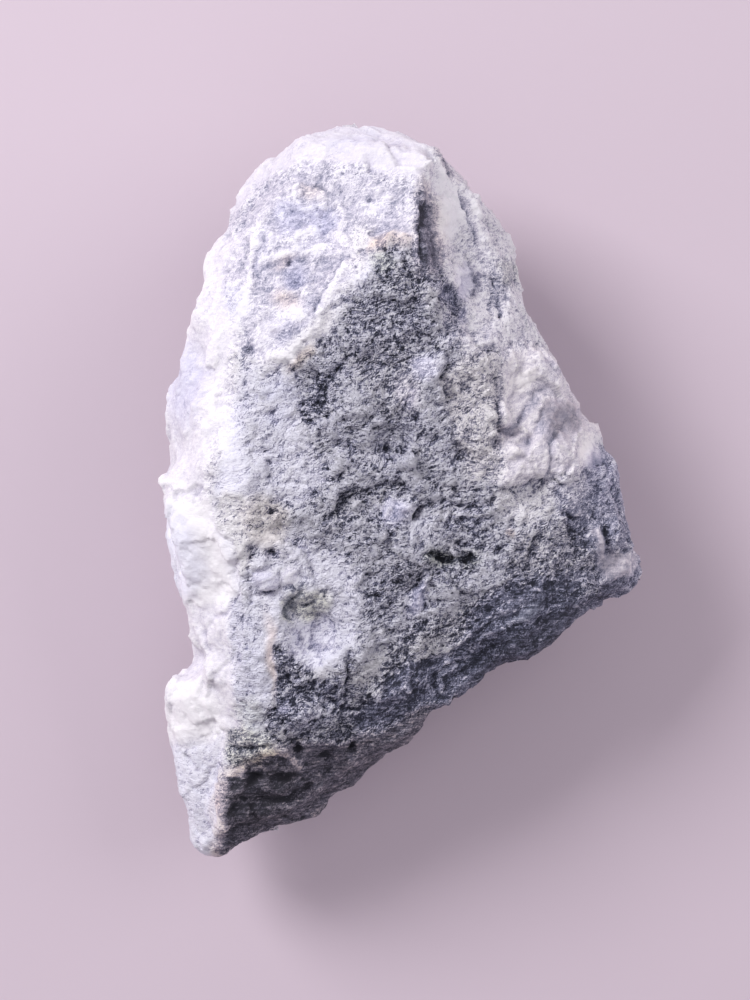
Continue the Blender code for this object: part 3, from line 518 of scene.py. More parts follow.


# forms: what stands proud of the broken faces or is sunk in them, drawn on the sheet, in mm

# a line's points, its width, its rise, above 0 for a ridge and below 0 for a crack, and the shade painted
# along it: below 0 partly the crack's own dark and partly painted shade in cracks, grooves and under steps,
# above 0 a paler line
lines = {
    "diagonalRidge": ([(392, 248), (368, 275), (345, 292), (322, 318), (300, 342), (275, 357), (250, 368)],
        0.6, 0.2, 0),
    "brightGroove": ([(341, 252), (333, 275), (322, 296), (311, 318)], 0.2, -0.2, -0.14),
    "groovePartner": ([(347, 256), (338, 280), (327, 302), (316, 322)], 0.35, 0.2, 0.08),
    "netA": ([(256, 262), (280, 256), (303, 253), (326, 248), (342, 240)], 0.35, 0.22, 0.12),
    "netUnderA": ([(260, 268), (282, 262), (300, 262), (318, 262), (330, 256)], 0.2, -0.12, -0.06),
    "netB": ([(282, 242), (297, 237), (312, 230), (326, 234)], 0.3, 0.22, 0.13),
    "netC": ([(336, 198), (342, 215), (340, 232), (347, 248)], 0.3, 0.25, 0.14),
    "netD": ([(366, 216), (380, 205), (395, 196)], 0.3, 0.2, 0.18),
    "netE": ([(304, 214), (318, 206), (330, 208)], 0.25, 0.3, 0.16),
    "netF": ([(270, 300), (292, 290), (312, 292)], 0.3, 0.3, 0),
    "innerRidge": ([(264, 226), (255, 245), (251, 265), (246, 290), (241, 318), (236, 342)], 0.35, 0.3, 0.18),
    "innerGap": ([(268, 232), (259, 250), (253, 270), (250, 284)], 0.2, -0.15, -0.14),
    "rimCrack": ([(272, 176), (258, 195), (245, 215), (228, 240), (214, 262)], 0.14, -0.2, -0.14),
    "capArc": ([(301, 182), (311, 181), (321, 187), (327, 196)], 0.14, -0.2, -0.22),
    "capCrest": ([(392, 138), (410, 152), (430, 165), (447, 180)], 0.4, 0.3, 0),
    "capCracks": ([(386, 146), (396, 142), (404, 149), (414, 152)], 0.2, -0.2, -0.12),
    "flankCrack": ([(457, 188), (464, 204), (470, 222), (477, 240), (483, 252)], 0.2, -0.35, -0.3),
    "flankBank": ([(464, 192), (473, 212), (481, 232), (488, 250)], 0.5, 0.3, 0.06),
    "flankSmooth": ([(446, 190), (448, 215), (452, 240)], 0.9, 0.4, 0.05),
    # painted shadow along the edge of the apex wall
    "cliffLine": ([(422, 196), (422, 215), (422, 235), (424, 265)], 0.25, -0.4, -0.34),
    "glassEdge": ([(468, 262), (477, 270), (479, 286), (473, 300)], 0.25, -0.25, -0.12),
    "glassRim": ([(474, 258), (484, 272), (485, 292), (478, 306)], 0.35, 0.25, 0.08),
    "crackA": ([(492, 296), (498, 308), (504, 320)], 0.25, -0.4, -0.3),
    "crackB": ([(488, 298), (490, 320), (486, 344)], 0.22, -0.2, -0.12),
    "crackC": ([(464, 326), (473, 332), (481, 339)], 0.25, -0.3, -0.22),
    "darkUpright": ([(446, 352), (448, 368), (440, 386)], 0.35, -0.4, -0.08),
    "arcCrest": ([(350, 376), (362, 380), (374, 388), (386, 394)], 0.3, 0.35, 0.06),
    "mainCleft": ([(348, 350), (338, 366), (330, 378), (322, 392), (318, 410)], 0.4, -0.35, -0.1),
    "whiskerA": ([(326, 440), (334, 424), (344, 412), (350, 402)], 0.35, 0.3, 0.14),
    "whiskerB": ([(364, 434), (374, 424), (381, 412)], 0.3, 0.3, 0.14),
    "whiskerC": ([(396, 500), (386, 512), (378, 526)], 0.3, 0.25, 0.1),
    "darkSeam": ([(420, 505), (400, 484), (385, 486), (358, 492), (345, 502), (334, 514), (318, 530)], 0.45,
        -0.4, -0.12),
    "seamRight": ([(498, 492), (491, 503), (476, 508), (455, 506), (432, 503), (420, 508)], 0.35, -0.35,
        -0.15),
    "chunkGroove": ([(494, 372), (498, 390), (500, 410), (500, 432), (496, 455)], 0.38, -0.5, -0.1),
    "chunkCleftA": ([(552, 386), (538, 393), (526, 406), (516, 424), (508, 430)], 0.22, -0.35, -0.14),
    "chunkFoldA": ([(550, 398), (537, 403), (527, 418), (520, 432)], 0.45, 0.2, 0),
    "chunkCleftB": ([(549, 405), (541, 421), (534, 438), (522, 450)], 0.22, -0.25, -0.1),
    "chunkFoldB": ([(552, 418), (544, 436), (536, 452)], 0.4, 0.16, 0),
    "chunkCleftC": ([(556, 425), (552, 445), (551, 460), (547, 484)], 0.22, -0.3, -0.15),
    "chunkFoldC": ([(545, 448), (545, 462), (541, 478)], 0.4, 0.14, 0),
    "chunkCleftD": ([(523, 356), (520, 372), (515, 388), (508, 408)], 0.22, -0.2, -0.1),
    "chunkFoldD": ([(531, 366), (526, 382), (520, 398)], 0.45, 0.12, 0),
    "chunkFoldE": ([(502, 452), (514, 450), (530, 455), (538, 462)], 0.35, 0.14, 0),
    "chunkCleftE": ([(504, 436), (512, 444), (524, 448)], 0.22, -0.25, -0.1),
    "chunkLedgeShade": ([(552, 485), (535, 484), (520, 486), (508, 492), (497, 497)], 0.35, -0.2, -0.04),
    "dishLip": ([(300, 578), (290, 592), (278, 603), (280, 618)], 0.45, 0.2, 0.05),
    "dishCrescent": ([(350, 642), (341, 652), (328, 665), (314, 677), (300, 688)], 0.35, 0.45, 0.2),
    "uprightLine": ([(350, 648), (349, 668), (347, 690), (344, 706)], 0.3, -0.4, -0.18),
    "uprightCrest": ([(344, 664), (343, 684), (340, 700)], 0.3, 0.3, 0.12),
    "slabLine": ([(427, 574), (419, 592), (410, 613)], 0.4, 0.5, 0),
    "slabShade": ([(421, 570), (411, 590), (402, 606)], 0.4, -0.3, -0.1),
    "leftCrack": ([(232, 558), (234, 578), (236, 598), (230, 606), (222, 614), (208, 618)], 0.25, -0.4,
        -0.12),
    "pairedLineA": ([(244, 350), (245, 372), (244, 395), (247, 418)], 0.22, -0.25, -0.14),
    "pairedLineB": ([(251, 362), (252, 388), (250, 410)], 0.22, -0.2, -0.12),
    "longFibreA": ([(238, 566), (242, 590), (247, 616)], 0.25, 0.25, 0.08),
    "longFibreB": ([(243, 560), (249, 585), (252, 612)], 0.2, -0.2, -0.1),
    "leftHair": ([(203, 486), (200, 492), (196, 498)], 0.15, -0.15, -0.18),
    "leftArc": ([(212, 398), (220, 406), (232, 405), (243, 399)], 0.25, -0.15, -0.07),
    "leftRidgeOuter": ([(166, 510), (176, 540), (186, 570), (196, 600)], 0.5, 0.35, 0),
    "notchCrack": ([(202, 630), (207, 642), (215, 651)], 0.25, -0.25, -0.15),
    "greenCrack": ([(229, 746), (243, 748), (256, 747), (266, 744), (272, 740)], 0.2, -0.5, -0.4),
    "greenBranch": ([(256, 747), (260, 752), (265, 758)], 0.15, -0.2, -0.2),
    "paleVein": ([(270, 741), (282, 746), (294, 759), (306, 773)], 0.35, 0.25, 0.05),
    "tipCrest": ([(262, 690), (245, 735), (226, 768), (219, 800), (217, 830), (208, 850)], 0.6, 0.35, 0),
    "lowerCrest": ([(285, 742), (358, 737), (452, 695), (587, 612)], 0.6, 0.25, 0),
    "slopeLineA": ([(440, 668), (480, 640), (520, 620), (560, 606)], 0.35, 0.3, 0.06),
    "slopeLineB": ([(430, 690), (470, 664), (520, 634)], 0.3, -0.3, -0.08),
    "slopeLineC": ([(368, 702), (415, 684), (462, 656)], 0.3, 0.3, 0.14),
    "slopeLineD": ([(440, 652), (480, 626), (522, 602)], 0.3, 0.3, 0.16),
    "slopeLineE": ([(402, 716), (438, 700), (474, 674)], 0.3, 0.3, 0.12),
    "steepLineA": ([(228, 792), (252, 784), (282, 790), (312, 782)], 0.4, 0.25, 0.05),
    "steepLineB": ([(240, 822), (270, 812), (300, 800), (330, 782)], 0.35, 0.35, 0.05),
    "steepLineC": ([(330, 776), (360, 758), (395, 738), (430, 712)], 0.4, 0.35, 0.1),
    "steepGap": ([(250, 799), (275, 802), (300, 792)], 0.35, -0.5, -0.1),
    "cornerFanA": ([(600, 524), (603, 542), (604, 562)], 0.35, 0.35, 0),
    "cornerSlit": ([(606, 526), (607, 536), (609, 548)], 0.3, -0.5, -0.3),
    "cornerFanB": ([(616, 520), (616, 538), (614, 556)], 0.3, 0.3, 0),
    "cornerLineA": ([(560, 512), (572, 517), (582, 519)], 0.3, -0.4, -0.2),
    "cornerLineB": ([(566, 525), (574, 542), (580, 560)], 0.35, -0.35, -0.12),
    "cornerLineC": ([(596, 470), (604, 490), (613, 510)], 0.3, 0.3, 0.1),
}

# a ledge is high on the left of its line: its points, how wide it falls away, and its step
ledges = {
    "shelfEdge": ([(432, 270), (438, 285), (442, 310), (445, 335), (447, 345)], 1.6, -0.5),
    "chunkLedge": ([(552, 482), (535, 481), (520, 483), (508, 489), (498, 493)], 1.6, -0.55),
    "dishWall": ([(306, 586), (294, 598), (283, 608), (286, 624)], 1.5, -0.4),
    "crumblyEdge": ([(214, 508), (222, 530), (236, 550), (236, 580)], 1.2, 0.35),
}

# lumps and hollows: middle, half sizes and turn, then how high
bumps = {
    "rustLump": (377, 247, 1, 0.7, 20, 0.5),
    "rustLumpSmall": (392, 243, 0.7, 0.5, 0, 0.45),
    "footPit": (450, 296, 1.4, 0.9, -35, -0.5),
    "footLump": (446, 283, 1.2, 0.8, 20, 0.4),
    "topLump": (428, 296, 1.1, 1.5, 20, 0.4),
    "slateLump": (368, 340, 1.6, 1.2, 40, 0.35),
    "arcLump": (362, 400, 1.8, 1.4, 40, 0.4),
    "blueHollow": (392, 442, 2, 1.6, 60, -0.35),
    "ringLump": (337, 464, 1, 0.9, 0, 0.45),
    "ringLumpRight": (407, 462, 0.9, 0.9, 0, 0.45),
    "patchLump": (428, 370, 1.9, 1.4, 30, 0.3),
    "seamLump": (404, 505, 0.5, 0.5, 0, 0.5),
    "seamPit": (415, 513, 0.45, 0.85, -20, -0.9),
    "greenPitA": (439, 556, 1.2, 0.6, -15, -0.9),
    "greenPitB": (465, 559, 0.9, 0.6, 10, -0.8),
    "greenCrest": (453, 549, 0.6, 0.4, 0, 0.5),
    "chunkPocket": (510, 431, 0.9, 0.6, 0, -0.7),
    "chunkLump": (527, 470, 1.2, 1, 40, 0.4),
    "chunkLumpTop": (548, 372, 1.4, 1, -50, 0.3),
    "dishFloor": (320, 634, 3, 3.6, 10, -0.5),
    "dishDark": (290, 612, 0.9, 1, -30, -0.5),
    "hollow": (298, 684, 2.2, 2.4, -30, -0.6),
    "lavenderLump": (264, 579, 1.2, 0.9, 0, 0.5),
    "lavenderShade": (266, 592, 1, 0.35, 10, -0.6),
    "lavenderLumpRight": (288, 575, 0.9, 0.9, 0, 0.4),
    "ledgePitA": (250, 552, 0.8, 0.45, 30, -0.35),
    "ledgePitB": (271, 552, 0.8, 0.5, 10, -0.35),
    "ledgeLump": (258, 563, 1, 0.6, 10, 0.4),
    "steepPitA": (256, 781, 1.1, 0.7, 10, -0.6),
    "steepPitB": (284, 777, 1.3, 0.6, 15, -0.6),
    "steepPitC": (298, 751, 0.6, 1, 0, -0.6),
    "steepPitD": (326, 757, 0.9, 0.5, 35, -0.6),
    "steepPitE": (352, 748, 0.5, 0.5, 0, -0.5),
    "steepPitF": (236, 806, 0.9, 1.2, -30, -0.5),
    "steepLump": (262, 815, 2, 0.9, 25, 0.3),
    "slopeSlab": (528, 612, 1.9, 0.6, 35, 0.35),
    "cornerDent": (610, 560, 1.4, 1.8, -30, -0.4),
    "cornerLump": (622, 570, 1.2, 0.8, 40, 0.3),
    "knob": (165, 483, 0.6, 0.5, 0, 0.5),
}

formPlan = {
    "lineEnds": 0.15,           # share of a line's length over which each of its ends runs out
    "lineSides": 1.7,           # a line reaches this many widths to each side
    "ledgeEdge": 0.15,          # mm to each side of a ledge's line
    "bumpSlope": (-0.35, 0.6),  # from outside a bump's edge to inside it, in half sizes
    "ragged": (0.9, 1.6, 0.5, 18),      # breaks the round outlines of specks: middle, swing, mm and seed
    "pitDepth": 0.4, "pitShade": 0.26, "crumbHeight": 0.28, "crumbShade": 0.16,
    "facing": (-0.15, 0.2),     # how far up a face looks where forms begin, and where they are full
}

grainPlan = {
    "chips": ((4.6, 0.16), (1.9, 0.19), (0.9, 0.2)),        # size of the chips in mm, and how steep they lie
    "chipBend": 0.5, "chipTilt": 2, "chipLift": 0.5, "chipSeeds": (20, 10),
    "webs": ((2.4, 0.65), (1.1, 0.35)), "webSeed": 31,      # size of the net in mm, and its share
    "webRise": 0.32, "webMiddle": 0.3, "webNarrow": 4.5, "webRound": 1.5,
    "fibreTurns": {"down": 82, "slope": 32, "rise": 48}, "fibreRise": 0.11,     # degrees and mm
    "fibreSize": (0.42, 3.2, 0.9), "fibreSeed": 5,          # across, along and upright, in mm
    "crumbSize": 0.75, "crumbRise": 0.17,
    "gritSize": 0.38, "gritRise": 0.09,
    "rough": (0.08, 0.92), "roughMiddle": 0.6,              # crumbs anywhere, and more with the grain
    "nearPasses": 9, "widePasses": 60,                      # how wide the neighbourhoods of the crests are
}


def lineReach(places, along):
    # distance to a drawn line, above 0 on its left, and how far along it, from 0 to 1
    corners = drawn(along)
    lengths = np.linalg.norm(np.diff(corners, axis=0), axis=1)
    nearest = np.full(len(places), 1e9)
    side = np.zeros(len(places))
    share = np.zeros(len(places))
    walked = 0.0
    for start, end, length in zip(corners, corners[1:], lengths):
        run = (end - start) / length
        t = np.clip((places - start) @ run, 0, length)
        away = places - start - t[:, None] * run
        distance = np.linalg.norm(away, axis=1)
        closer = distance < nearest
        nearest[closer] = distance[closer]
        side[closer] = (run[0] * away[:, 1] - run[1] * away[:, 0])[closer]
        share[closer] = ((walked + t) / lengths.sum())[closer]
        walked += length
    return nearest * np.sign(side), share


def lineEnds(share):
    return eased(share, 0, formPlan["lineEnds"]) * eased(1 - share, 0, formPlan["lineEnds"])


def addForms(places, facing):
    height = np.zeros(len(places))
    for along, width, rise, shade in lines.values():
        reach, share = lineReach(places, along)
        near = np.clip(1 - np.abs(reach) / (formPlan["lineSides"] * width), 0, 1) * lineEnds(share)
        height += rise * near
        # painted shade along cracks, grooves and steps, besides their own dark, and paler lines along crests
        channels["tone"] += shade * near * facing
    for along, fall, step in ledges.values():
        reach, share = lineReach(places, along)
        fallen = np.exp(-np.maximum(reach, 0) / fall)
        edge = eased(reach, -formPlan["ledgeEdge"], formPlan["ledgeEdge"])
        height += step * fallen * edge * lineEnds(share)
    for *spot, rise in bumps.values():
        depth = insideSpot(places, spot) / min(spot[2:4])      # 1 at its middle, 0 on its edge
        height += rise * eased(depth, *formPlan["bumpSlope"])
    middle, swing, size, seed = formPlan["ragged"]
    ragged = np.clip(middle + swing * wander(points, size, seed), 0, 1)
    dark, pale = speckShare(places, ragged, pits), speckShare(places, ragged, crumbs)
    height += formPlan["crumbHeight"] * pale - formPlan["pitDepth"] * dark
    # pits are sunk and darkened, partly with painted shade; crumbs are raised and made paler
    channels["tone"] += (formPlan["crumbShade"] * pale - formPlan["pitShade"] * dark) * facing
    return height * facing


def cellNumbers(cells, seed):
    # steady random numbers from 0 to 1, one for each whole-number cell
    mixed = (cells[..., 0] * 73856093) ^ (cells[..., 1] * 19349663) ^ (cells[..., 2] * 83492791)
    mixed = ((mixed ^ (seed * 668265263)) * 1274126177) & 0xffffffff
    mixed = ((mixed ^ (mixed >> 15)) * 2246822519) & 0xffffffff
    return (mixed >> 8 & 0xffff) / 0xffff


def chipHeights(points, size, steep, seed):
    # the stone breaks in small tilted chips: each point takes the tilt of the nearest chip
    at = points / size
    home = np.floor(at).astype(np.int64)
    best = np.full(len(at), 1e9)
    height = np.zeros(len(at))
    for step in np.ndindex(3, 3, 3):
        cell = home + np.array(step) - 1
        centre = cell + np.stack([cellNumbers(cell, seed + k) for k in range(3)], 1)
        away = at - centre
        distance = (away ** 2).sum(1)
        tilt = np.stack([cellNumbers(cell, seed + k) for k in range(3, 6)], 1) - 0.5
        lift = (away * tilt).sum(1) * grainPlan["chipTilt"]
        lift += (cellNumbers(cell, seed + 6) - 0.5) * grainPlan["chipLift"]
        closer = distance < best
        best[closer] = distance[closer]
        height[closer] = lift[closer]
    return height * size * steep


def webHeights(points):
    # a net of rounded ridges, from 0 between them to 1 on them
    return sum(np.clip(1 - grainPlan["webNarrow"] * np.abs(wander(points, size, grainPlan["webSeed"])), 0, 1)
               ** grainPlan["webRound"] * share for size, share in grainPlan["webs"])


def fibreHeights(points, degrees, seed):
    turn = math.radians(degrees)
    along = points[:, 0] * math.cos(turn) + points[:, 1] * math.sin(turn)
    across = points[:, 1] * math.cos(turn) - points[:, 0] * math.sin(turn)
    return wander(np.stack([across, along, points[:, 2]], 1) / grainPlan["fibreSize"], 1, seed)


def neighbourMean(edges, values, passes):
    # values evened out between each point and its neighbours on the net
    count = np.bincount(edges.ravel(), minlength=len(values))[:, None]
    for k in range(passes):
        total = np.zeros_like(values)
        for axis in range(values.shape[1]):
            total[:, axis] = np.bincount(edges[:, 0], values[edges[:, 1], axis], len(values))
            total[:, axis] += np.bincount(edges[:, 1], values[edges[:, 0], axis], len(values))
        values = 0.5 * values + 0.5 * total / count
    return values


def readEdges(piece):
    flat = np.empty(len(piece.data.edges) * 2, np.int32)
    piece.data.edges.foreach_get("vertices", flat)
    return flat.reshape(-1, 2)


def weightGroup(stone, name, weights):
    group = stone.vertex_groups.new(name=name)
    steps = 24
    level = np.round(np.clip(weights, 0, 1) * steps).astype(int)
    for step in range(1, steps + 1):
        members = np.nonzero(level == step)[0].tolist()
        if members:
            group.add(members, step / steps, "REPLACE")


def addGrit(stone):
    # crumbs and then grit, pushed out of the surface where it is crumbly
    everywhere, byGrain = grainPlan["rough"]
    weightGroup(stone, "crumbly", everywhere + byGrain * channels["grain"])
    bpy.ops.object.empty_add(location=(0, 0, 0))
    guide = bpy.context.object
    guide.scale = (mm, mm, mm)
    bpy.context.view_layer.update()
    for name in ("crumb", "grit"):
        texture = bpy.data.textures.new(name, "MUSGRAVE")
        texture.musgrave_type = "RIDGED_MULTIFRACTAL"
        texture.octaves = 2
        texture.noise_scale = grainPlan[name + "Size"]
        texture.noise_basis = "IMPROVED_PERLIN"
        applied(stone, "DISPLACE", texture=texture, texture_coords="OBJECT", texture_coords_object=guide,
                strength=grainPlan[name + "Rise"] * mm, mid_level=grainPlan["roughMiddle"],
                vertex_group="crumbly")
    bpy.data.objects.remove(guide)


def roughenStone(stone):
    height = addForms(places, eased(outward[:, 2], *formPlan["facing"]))
    firstSeed, seedStep = grainPlan["chipSeeds"]
    for k, (size, steep) in enumerate(grainPlan["chips"]):
        bent = points + grainPlan["chipBend"] * warp
        height += chipHeights(bent, size, steep, firstSeed + seedStep * k) * channels["chip"]
    height += grainPlan["webRise"] * (webHeights(points + warp) - grainPlan["webMiddle"]) * channels["web"]
    for k, (name, degrees) in enumerate(grainPlan["fibreTurns"].items()):
        fibres = fibreHeights(points, degrees, grainPlan["fibreSeed"] + k)
        height += grainPlan["fibreRise"] * fibres * channels[name]
    writePoints(stone, points + outward * height[:, None])
    addGrit(stone)
    made = readVectors(stone, "co", mm)
    made[:, 2] = np.maximum(made[:, 2], 0)
    made[points[:, 2] < stonePlan["flat"], 2] = 0
    writePoints(stone, made)
    # how far each point stands over its neighbourhood, near and wide; the material paints raised points paler
    # and sunk points darker by it, partly the stone's white weathering on its crests and partly painted shade
    # in its hollows
    edges = readEdges(stone)
    lean = readVectors(stone, "normal")
    near = neighbourMean(edges, made, grainPlan["nearPasses"])
    wide = neighbourMean(edges, near, grainPlan["widePasses"])
    channels["nearCrest"] = ((made - near) * lean).sum(1)
    channels["wideCrest"] = ((near - wide) * lean).sum(1)


roughenStone(stone)
for name, values in channels.items():
    writeValues(stone, name, values)
print("surface roughened", len(stone.data.polygons), "faces")


# material

stoneColours = {
    0.0: (0.022, 0.024, 0.042), 0.25: (0.098, 0.101, 0.160), 0.5: (0.285, 0.285, 0.380),
    0.75: (0.600, 0.565, 0.660), 1.0: (0.895, 0.865, 0.900),
}
tints = {"blue": (0.87, 0.89, 1.0), "warm": (1.0, 0.86, 0.74), "green": (0.92, 0.97, 0.76)}

# patterns of noise: scale per mm, detail, roughness and distortion
patterns = {
    "curly": (3.1, 2, 0.8, 1), "flow": (1, 3, 0.8, 0.7), "streaks": (1, 3, 0.7, 0.3),
    "patchy": (0.45, 4, 0.6, 0.4), "mottle": (1.1, 4, 0.7, 0.5), "broken": (0.5, 2, 0.5),
    "uneven": (0.8, 3, 0.6),
}
ridges = {"Scale": 1, "Detail": 2, "Roughness": 0.95, "Offset": 0.9, "Gain": 1.6}
ridgedMiddle = 0.8

# crests and curls get painted light on one side and painted shade on the other, as if lit from one fixed way
# in the object: that way, and how far in mm a pattern is moved to find it
litFrom = (0.77, -0.64, 0.0)
litShifts = {"crests": 0.11, "curls": 0.08}

# the surface flows along streaks that turn slowly over the stone
streams = {"drift": (0.22, 3.4), "turn": -0.7, "crests": (0.95, 1.6, 1.2), "flow": (1.2, 3.0, 1.8)}
wobblePlan = {"scale": 2.2, "detail": 2, "far": 0.7}
flakeScales = {"coarse": 1.5, "fine": 3.0}
fibreStretch = (0.35, 3.6, 1.0)

# thin broken hairlines: scale per mm, width and place; then their noise, and where they break
hairPlan = {"lines": ((0.3, 0.012, 3.1), (0.55, 0.014, 9.4)), "noise": (2, 0.5, 0.6),
            "middle": 0.42, "steep": 5}

# what makes up the bump's height and the light and dark of the grain, and the share of each; the lit curls,
# lit crests and the flakes' lit sides in it are painted light and shade
heightShares = {"ridged": 0.2, "curly": 0.9, "flow": 0.8, "coarse": 0.7, "fine": 0.35}
shadeShares = {"ridgedShade": 0.2, "curlyShade": 0.7, "flowShade": 0.9, "litCurls": 3.1, "litCrests": 0.75,
               "coarseLitSide": 0.42, "fineLitSide": 0.42}

# how far each swings the tone: anywhere, more with the grain, and more with the web; nearCrest and wideCrest
# darken sunk places with painted shade and lighten raised ones
swings = {
    "shade": (0.03, 0.98, 0), "hairs": (-0.16, -0.1, 0), "patchy": (0.1, 0.6, 0), "mottle": (0.04, 0.48, 0.2),
    "streaks": (0.9, 0, 0), "nearCrest": (0.3, 1.4, 0), "wideCrest": (0, 0.5, 0.7),
}
toneLift = 0.03         # added to every tone
unevenTint = 0.45       # the least share of a tint
surface = {"roughness": 0.8, "bump": (0.15, 0.85), "depth": 0.0005, "fibres": 0.8}


def stoneMaterial():
    material = bpy.data.materials.new("larimar")
    material.use_nodes = True
    tree = material.node_tree
    tree.nodes.clear()
    values = {}         # finished patterns by name

    def add(kind, inputs=None, **settings):
        made = tree.nodes.new(kind)
        for key, value in settings.items():
            setattr(made, key, value)
        for key, value in (inputs or {}).items():
            if isinstance(value, bpy.types.NodeSocket):
                tree.links.new(value, made.inputs[key])
            else:
                made.inputs[key].default_value = value
        return made

    def calc(operation, a, b=0.0, c=0.0, clamp=False):
        return add("ShaderNodeMath", {0: a, 1: b, 2: c}, operation=operation, use_clamp=clamp).outputs[0]

    def vectors(operation, *given):
        made = add("ShaderNodeVectorMath", dict(enumerate(given)), operation=operation)
        return made.outputs["Value" if operation == "DOT_PRODUCT" else "Vector"]

    def total(shares):
        # the sum of the named values times their shares
        result = 0.0
        for name, share in shares.items():
            result = calc("MULTIPLY_ADD", values[name], share, result)
        return result

    def centred(value, middle=0.5):
        return calc("SUBTRACT", value, middle)

    def attribute(name):
        return add("ShaderNodeAttribute", attribute_name=name).outputs["Fac"]

    def speckle(vector, scale, detail, roughness, distortion=0.0):
        made = add("ShaderNodeTexNoise", {"Vector": vector, "Scale": scale, "Detail": detail,
                                          "Roughness": roughness, "Distortion": distortion})
        return made.outputs["Fac"]

    coords = add("ShaderNodeTexCoord").outputs["Object"]
    perMm = add("ShaderNodeMapping", {"Vector": coords, "Scale": (1000, 1000, 1000)}).outputs[0]
    grain, web = attribute("grain"), attribute("web")

    wobble = add("ShaderNodeTexNoise", {"Vector": perMm, "Scale": wobblePlan["scale"],
                                        "Detail": wobblePlan["detail"]})
    wobble = vectors("SUBTRACT", wobble.outputs["Color"], (0.5, 0.5, 0.5))
    warped = vectors("MULTIPLY_ADD", wobble, [wobblePlan["far"]] * 3, perMm)

    driftScale, driftFar = streams["drift"]
    drift = add("ShaderNodeTexNoise", {"Vector": perMm, "Scale": driftScale, "Detail": 1}).outputs["Color"]

    def flowing(vector, stretch):
        drifted = vectors("MULTIPLY_ADD", drift, [driftFar] * 3, vector)
        return add("ShaderNodeMapping", {"Vector": drifted, "Rotation": (0, 0, streams["turn"]),
                                         "Scale": stretch}).outputs[0]

    def crests(vector):
        # sharp curled crests with gaps between them
        made = add("ShaderNodeTexNoise", {"Vector": flowing(vector, streams["crests"]), **ridges},
                   noise_type="RIDGED_MULTIFRACTAL", normalize=False)
        return made.outputs["Fac"]

    def beside(vector, far):
        return vectors("MULTIPLY_ADD", litFrom, [far] * 3, vector)

    # painted light and shade: each crest and curl is made paler on one side and darker on the other
    values["ridged"] = crests(warped)
    values["litCrests"] = calc("SUBTRACT", crests(beside(warped, litShifts["crests"])), values["ridged"])
    values["curly"] = speckle(perMm, *patterns["curly"])
    curlsBeside = speckle(beside(perMm, litShifts["curls"]), *patterns["curly"])
    values["litCurls"] = calc("SUBTRACT", curlsBeside, values["curly"])
    values["flow"] = speckle(flowing(perMm, streams["flow"]), *patterns["flow"])

    # flat flakes, each tilted its own way: how high, and how far each is turned to the lit side, which paints
    # it paler as painted light
    for name, scale in flakeScales.items():
        cells = add("ShaderNodeTexVoronoi", {"Vector": warped, "Scale": scale})
        tilt = vectors("SUBTRACT", cells.outputs["Color"], (0.5, 0.5, 0.5))
        away = vectors("SUBTRACT", warped, cells.outputs["Position"])
        values[name] = calc("MULTIPLY", vectors("DOT_PRODUCT", away, tilt), scale)
        values[name + "LitSide"] = vectors("DOT_PRODUCT", tilt, litFrom)

    values["ridgedShade"] = centred(values["ridged"], ridgedMiddle)
    values["curlyShade"] = centred(values["curly"])
    values["flowShade"] = centred(values["flow"])
    height = total(heightShares)
    values["shade"] = total(shadeShares)

    streaks = 0.0
    for name, degrees in grainPlan["fibreTurns"].items():
        turned = add("ShaderNodeMapping", {"Vector": perMm, "Rotation": (0, 0, math.radians(-degrees)),
                                           "Scale": fibreStretch}).outputs[0]
        streak = centred(speckle(turned, *patterns["streaks"]))
        streaks = calc("MULTIPLY_ADD", streak, attribute(name), streaks)
    values["streaks"] = streaks

    hairs = 0.0
    for scale, width, place in hairPlan["lines"]:
        moved = add("ShaderNodeMapping", {"Vector": warped, "Location": (place, place, place)}).outputs[0]
        field = calc("ABSOLUTE", centred(speckle(moved, scale, *hairPlan["noise"])))
        hairs = calc("MAXIMUM", calc("SUBTRACT", 1.0, calc("DIVIDE", field, width), clamp=True), hairs)
    broken = centred(speckle(perMm, *patterns["broken"]), hairPlan["middle"])
    values["hairs"] = calc("MULTIPLY", hairs, calc("MULTIPLY", broken, hairPlan["steep"], clamp=True))

    for name in ("patchy", "mottle"):
        values[name] = centred(speckle(perMm, *patterns[name]))
    for name in ("nearCrest", "wideCrest"):
        values[name] = attribute(name)

    lightness = calc("ADD", attribute("tone"), toneLift)
    for name, (anywhere, byGrain, byWeb) in swings.items():
        share = calc("MULTIPLY_ADD", web, byWeb, anywhere) if byWeb else anywhere
        share = calc("MULTIPLY_ADD", grain, byGrain, share) if byGrain else share
        lightness = calc("MULTIPLY_ADD", values[name], share, lightness)

    ramp = add("ShaderNodeValToRGB", {"Fac": calc("ADD", lightness, 0.0, clamp=True)})
    stops = ramp.color_ramp.elements
    stops[0].position, stops[1].position = 0.0, 1.0
    stops[0].color, stops[1].color = (*stoneColours[0.0], 1), (*stoneColours[1.0], 1)
    for place in (0.25, 0.5, 0.75):
        stops.new(place).color = (*stoneColours[place], 1)
    colour = ramp.outputs["Color"]
    uneven = calc("ADD", speckle(perMm, *patterns["uneven"]), unevenTint)
    for name, tint in tints.items():
        share = calc("MULTIPLY", attribute(name), uneven, clamp=True)
        colour = add("ShaderNodeMix", {0: share, 6: colour, 7: (*tint, 1)},
                     data_type="RGBA", blend_type="MULTIPLY").outputs[2]

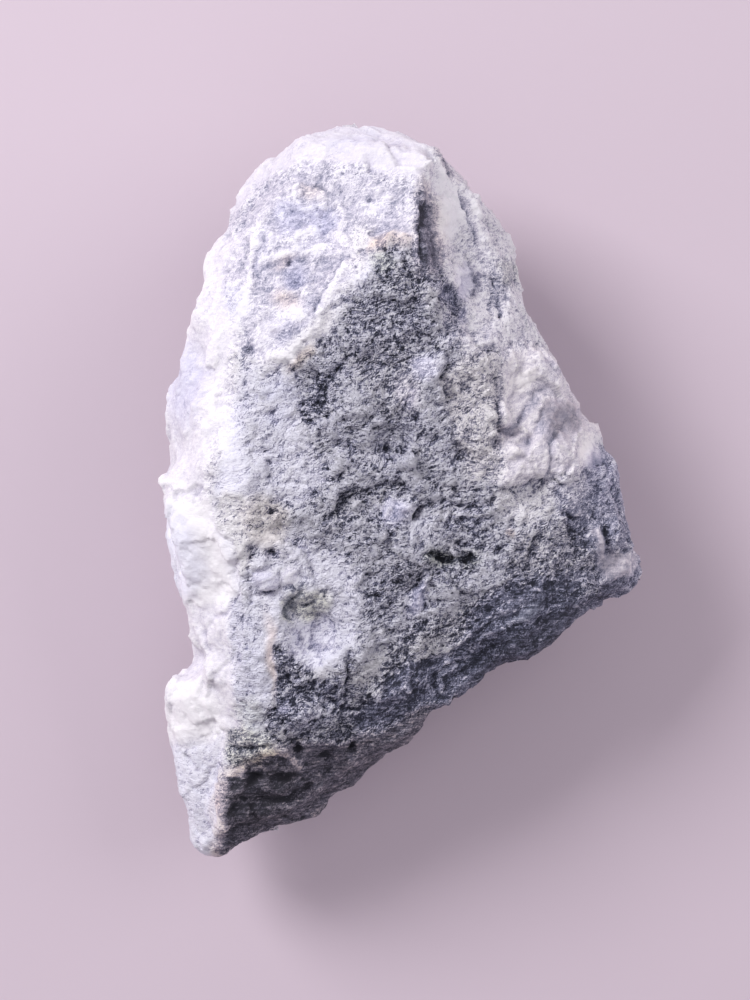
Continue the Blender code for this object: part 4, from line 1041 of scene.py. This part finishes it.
    shader = add("ShaderNodeBsdfPrincipled", {"Base Color": colour, "Roughness": surface["roughness"]})
    relief = calc("MULTIPLY_ADD", streaks, surface["fibres"], height)
    smooth, byGrain = surface["bump"]
    bump = add("ShaderNodeBump", {"Height": relief, "Strength": calc("MULTIPLY_ADD", grain, byGrain, smooth),
                                  "Distance": surface["depth"]})
    tree.links.new(bump.outputs[0], shader.inputs["Normal"])
    add("ShaderNodeOutputMaterial", {"Surface": shader.outputs[0]})
    return material


stone.data.materials.append(stoneMaterial())
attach(stone, "root")
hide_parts("larimar_stone")
print("stone finished")


# floor, light and camera

studio = {
    "floorSize": 6, "floorColour": (0.60, 0.50, 0.575, 1), "floorRoughness": 0.9,
    "aim": (0, 0, 0.015),
    "keyPlace": (-0.30, 0.24, 0.34), "keySize": 0.22, "keyPower": 2.12,
    "fillPlace": (0.40, 0.15, 0.32), "fillSize": 0.4, "fillPower": 0.9,
    "skyColour": (0.83, 0.8, 0.86, 1), "skyStrength": 0.54,
}


def softBox(name):
    bpy.ops.object.light_add(type="AREA", location=studio[name + "Place"])
    lamp = bpy.context.object
    lamp.name = name
    lamp.data.size = studio[name + "Size"]
    lamp.data.energy = studio[name + "Power"]
    aim = Vector(studio["aim"]) - Vector(studio[name + "Place"])
    lamp.rotation_euler = aim.to_track_quat("-Z", "Y").to_euler()


def makeStudio():
    deselectAll()
    bpy.ops.mesh.primitive_plane_add(size=studio["floorSize"])
    floor = bpy.context.object
    floor.name = "floor"
    paper = bpy.data.materials.new("floorPaper")
    paper.use_nodes = True
    shader = paper.node_tree.nodes["Principled BSDF"]
    shader.inputs["Base Color"].default_value = studio["floorColour"]
    shader.inputs["Roughness"].default_value = studio["floorRoughness"]
    floor.data.materials.append(paper)
    softBox("key")
    softBox("fill")
    world = bpy.data.worlds.new("studioSky")
    bpy.context.scene.world = world
    world.use_nodes = True
    sky = world.node_tree.nodes["Background"]
    sky.inputs["Color"].default_value = studio["skyColour"]
    sky.inputs["Strength"].default_value = studio["skyStrength"]


def makeCamera():
    bpy.ops.object.camera_add(location=[v * mm for v in lens["place"]], rotation=(0, 0, 0))
    camera = bpy.context.object
    camera.data.lens = lens["focal"]
    camera.data.sensor_width = lens["sensor"]
    camera.data.clip_start = lens["nearest"]
    bpy.context.scene.camera = camera


makeStudio()
makeCamera()
bpy.context.scene.view_settings.view_transform = "Standard"
print("studio ready")
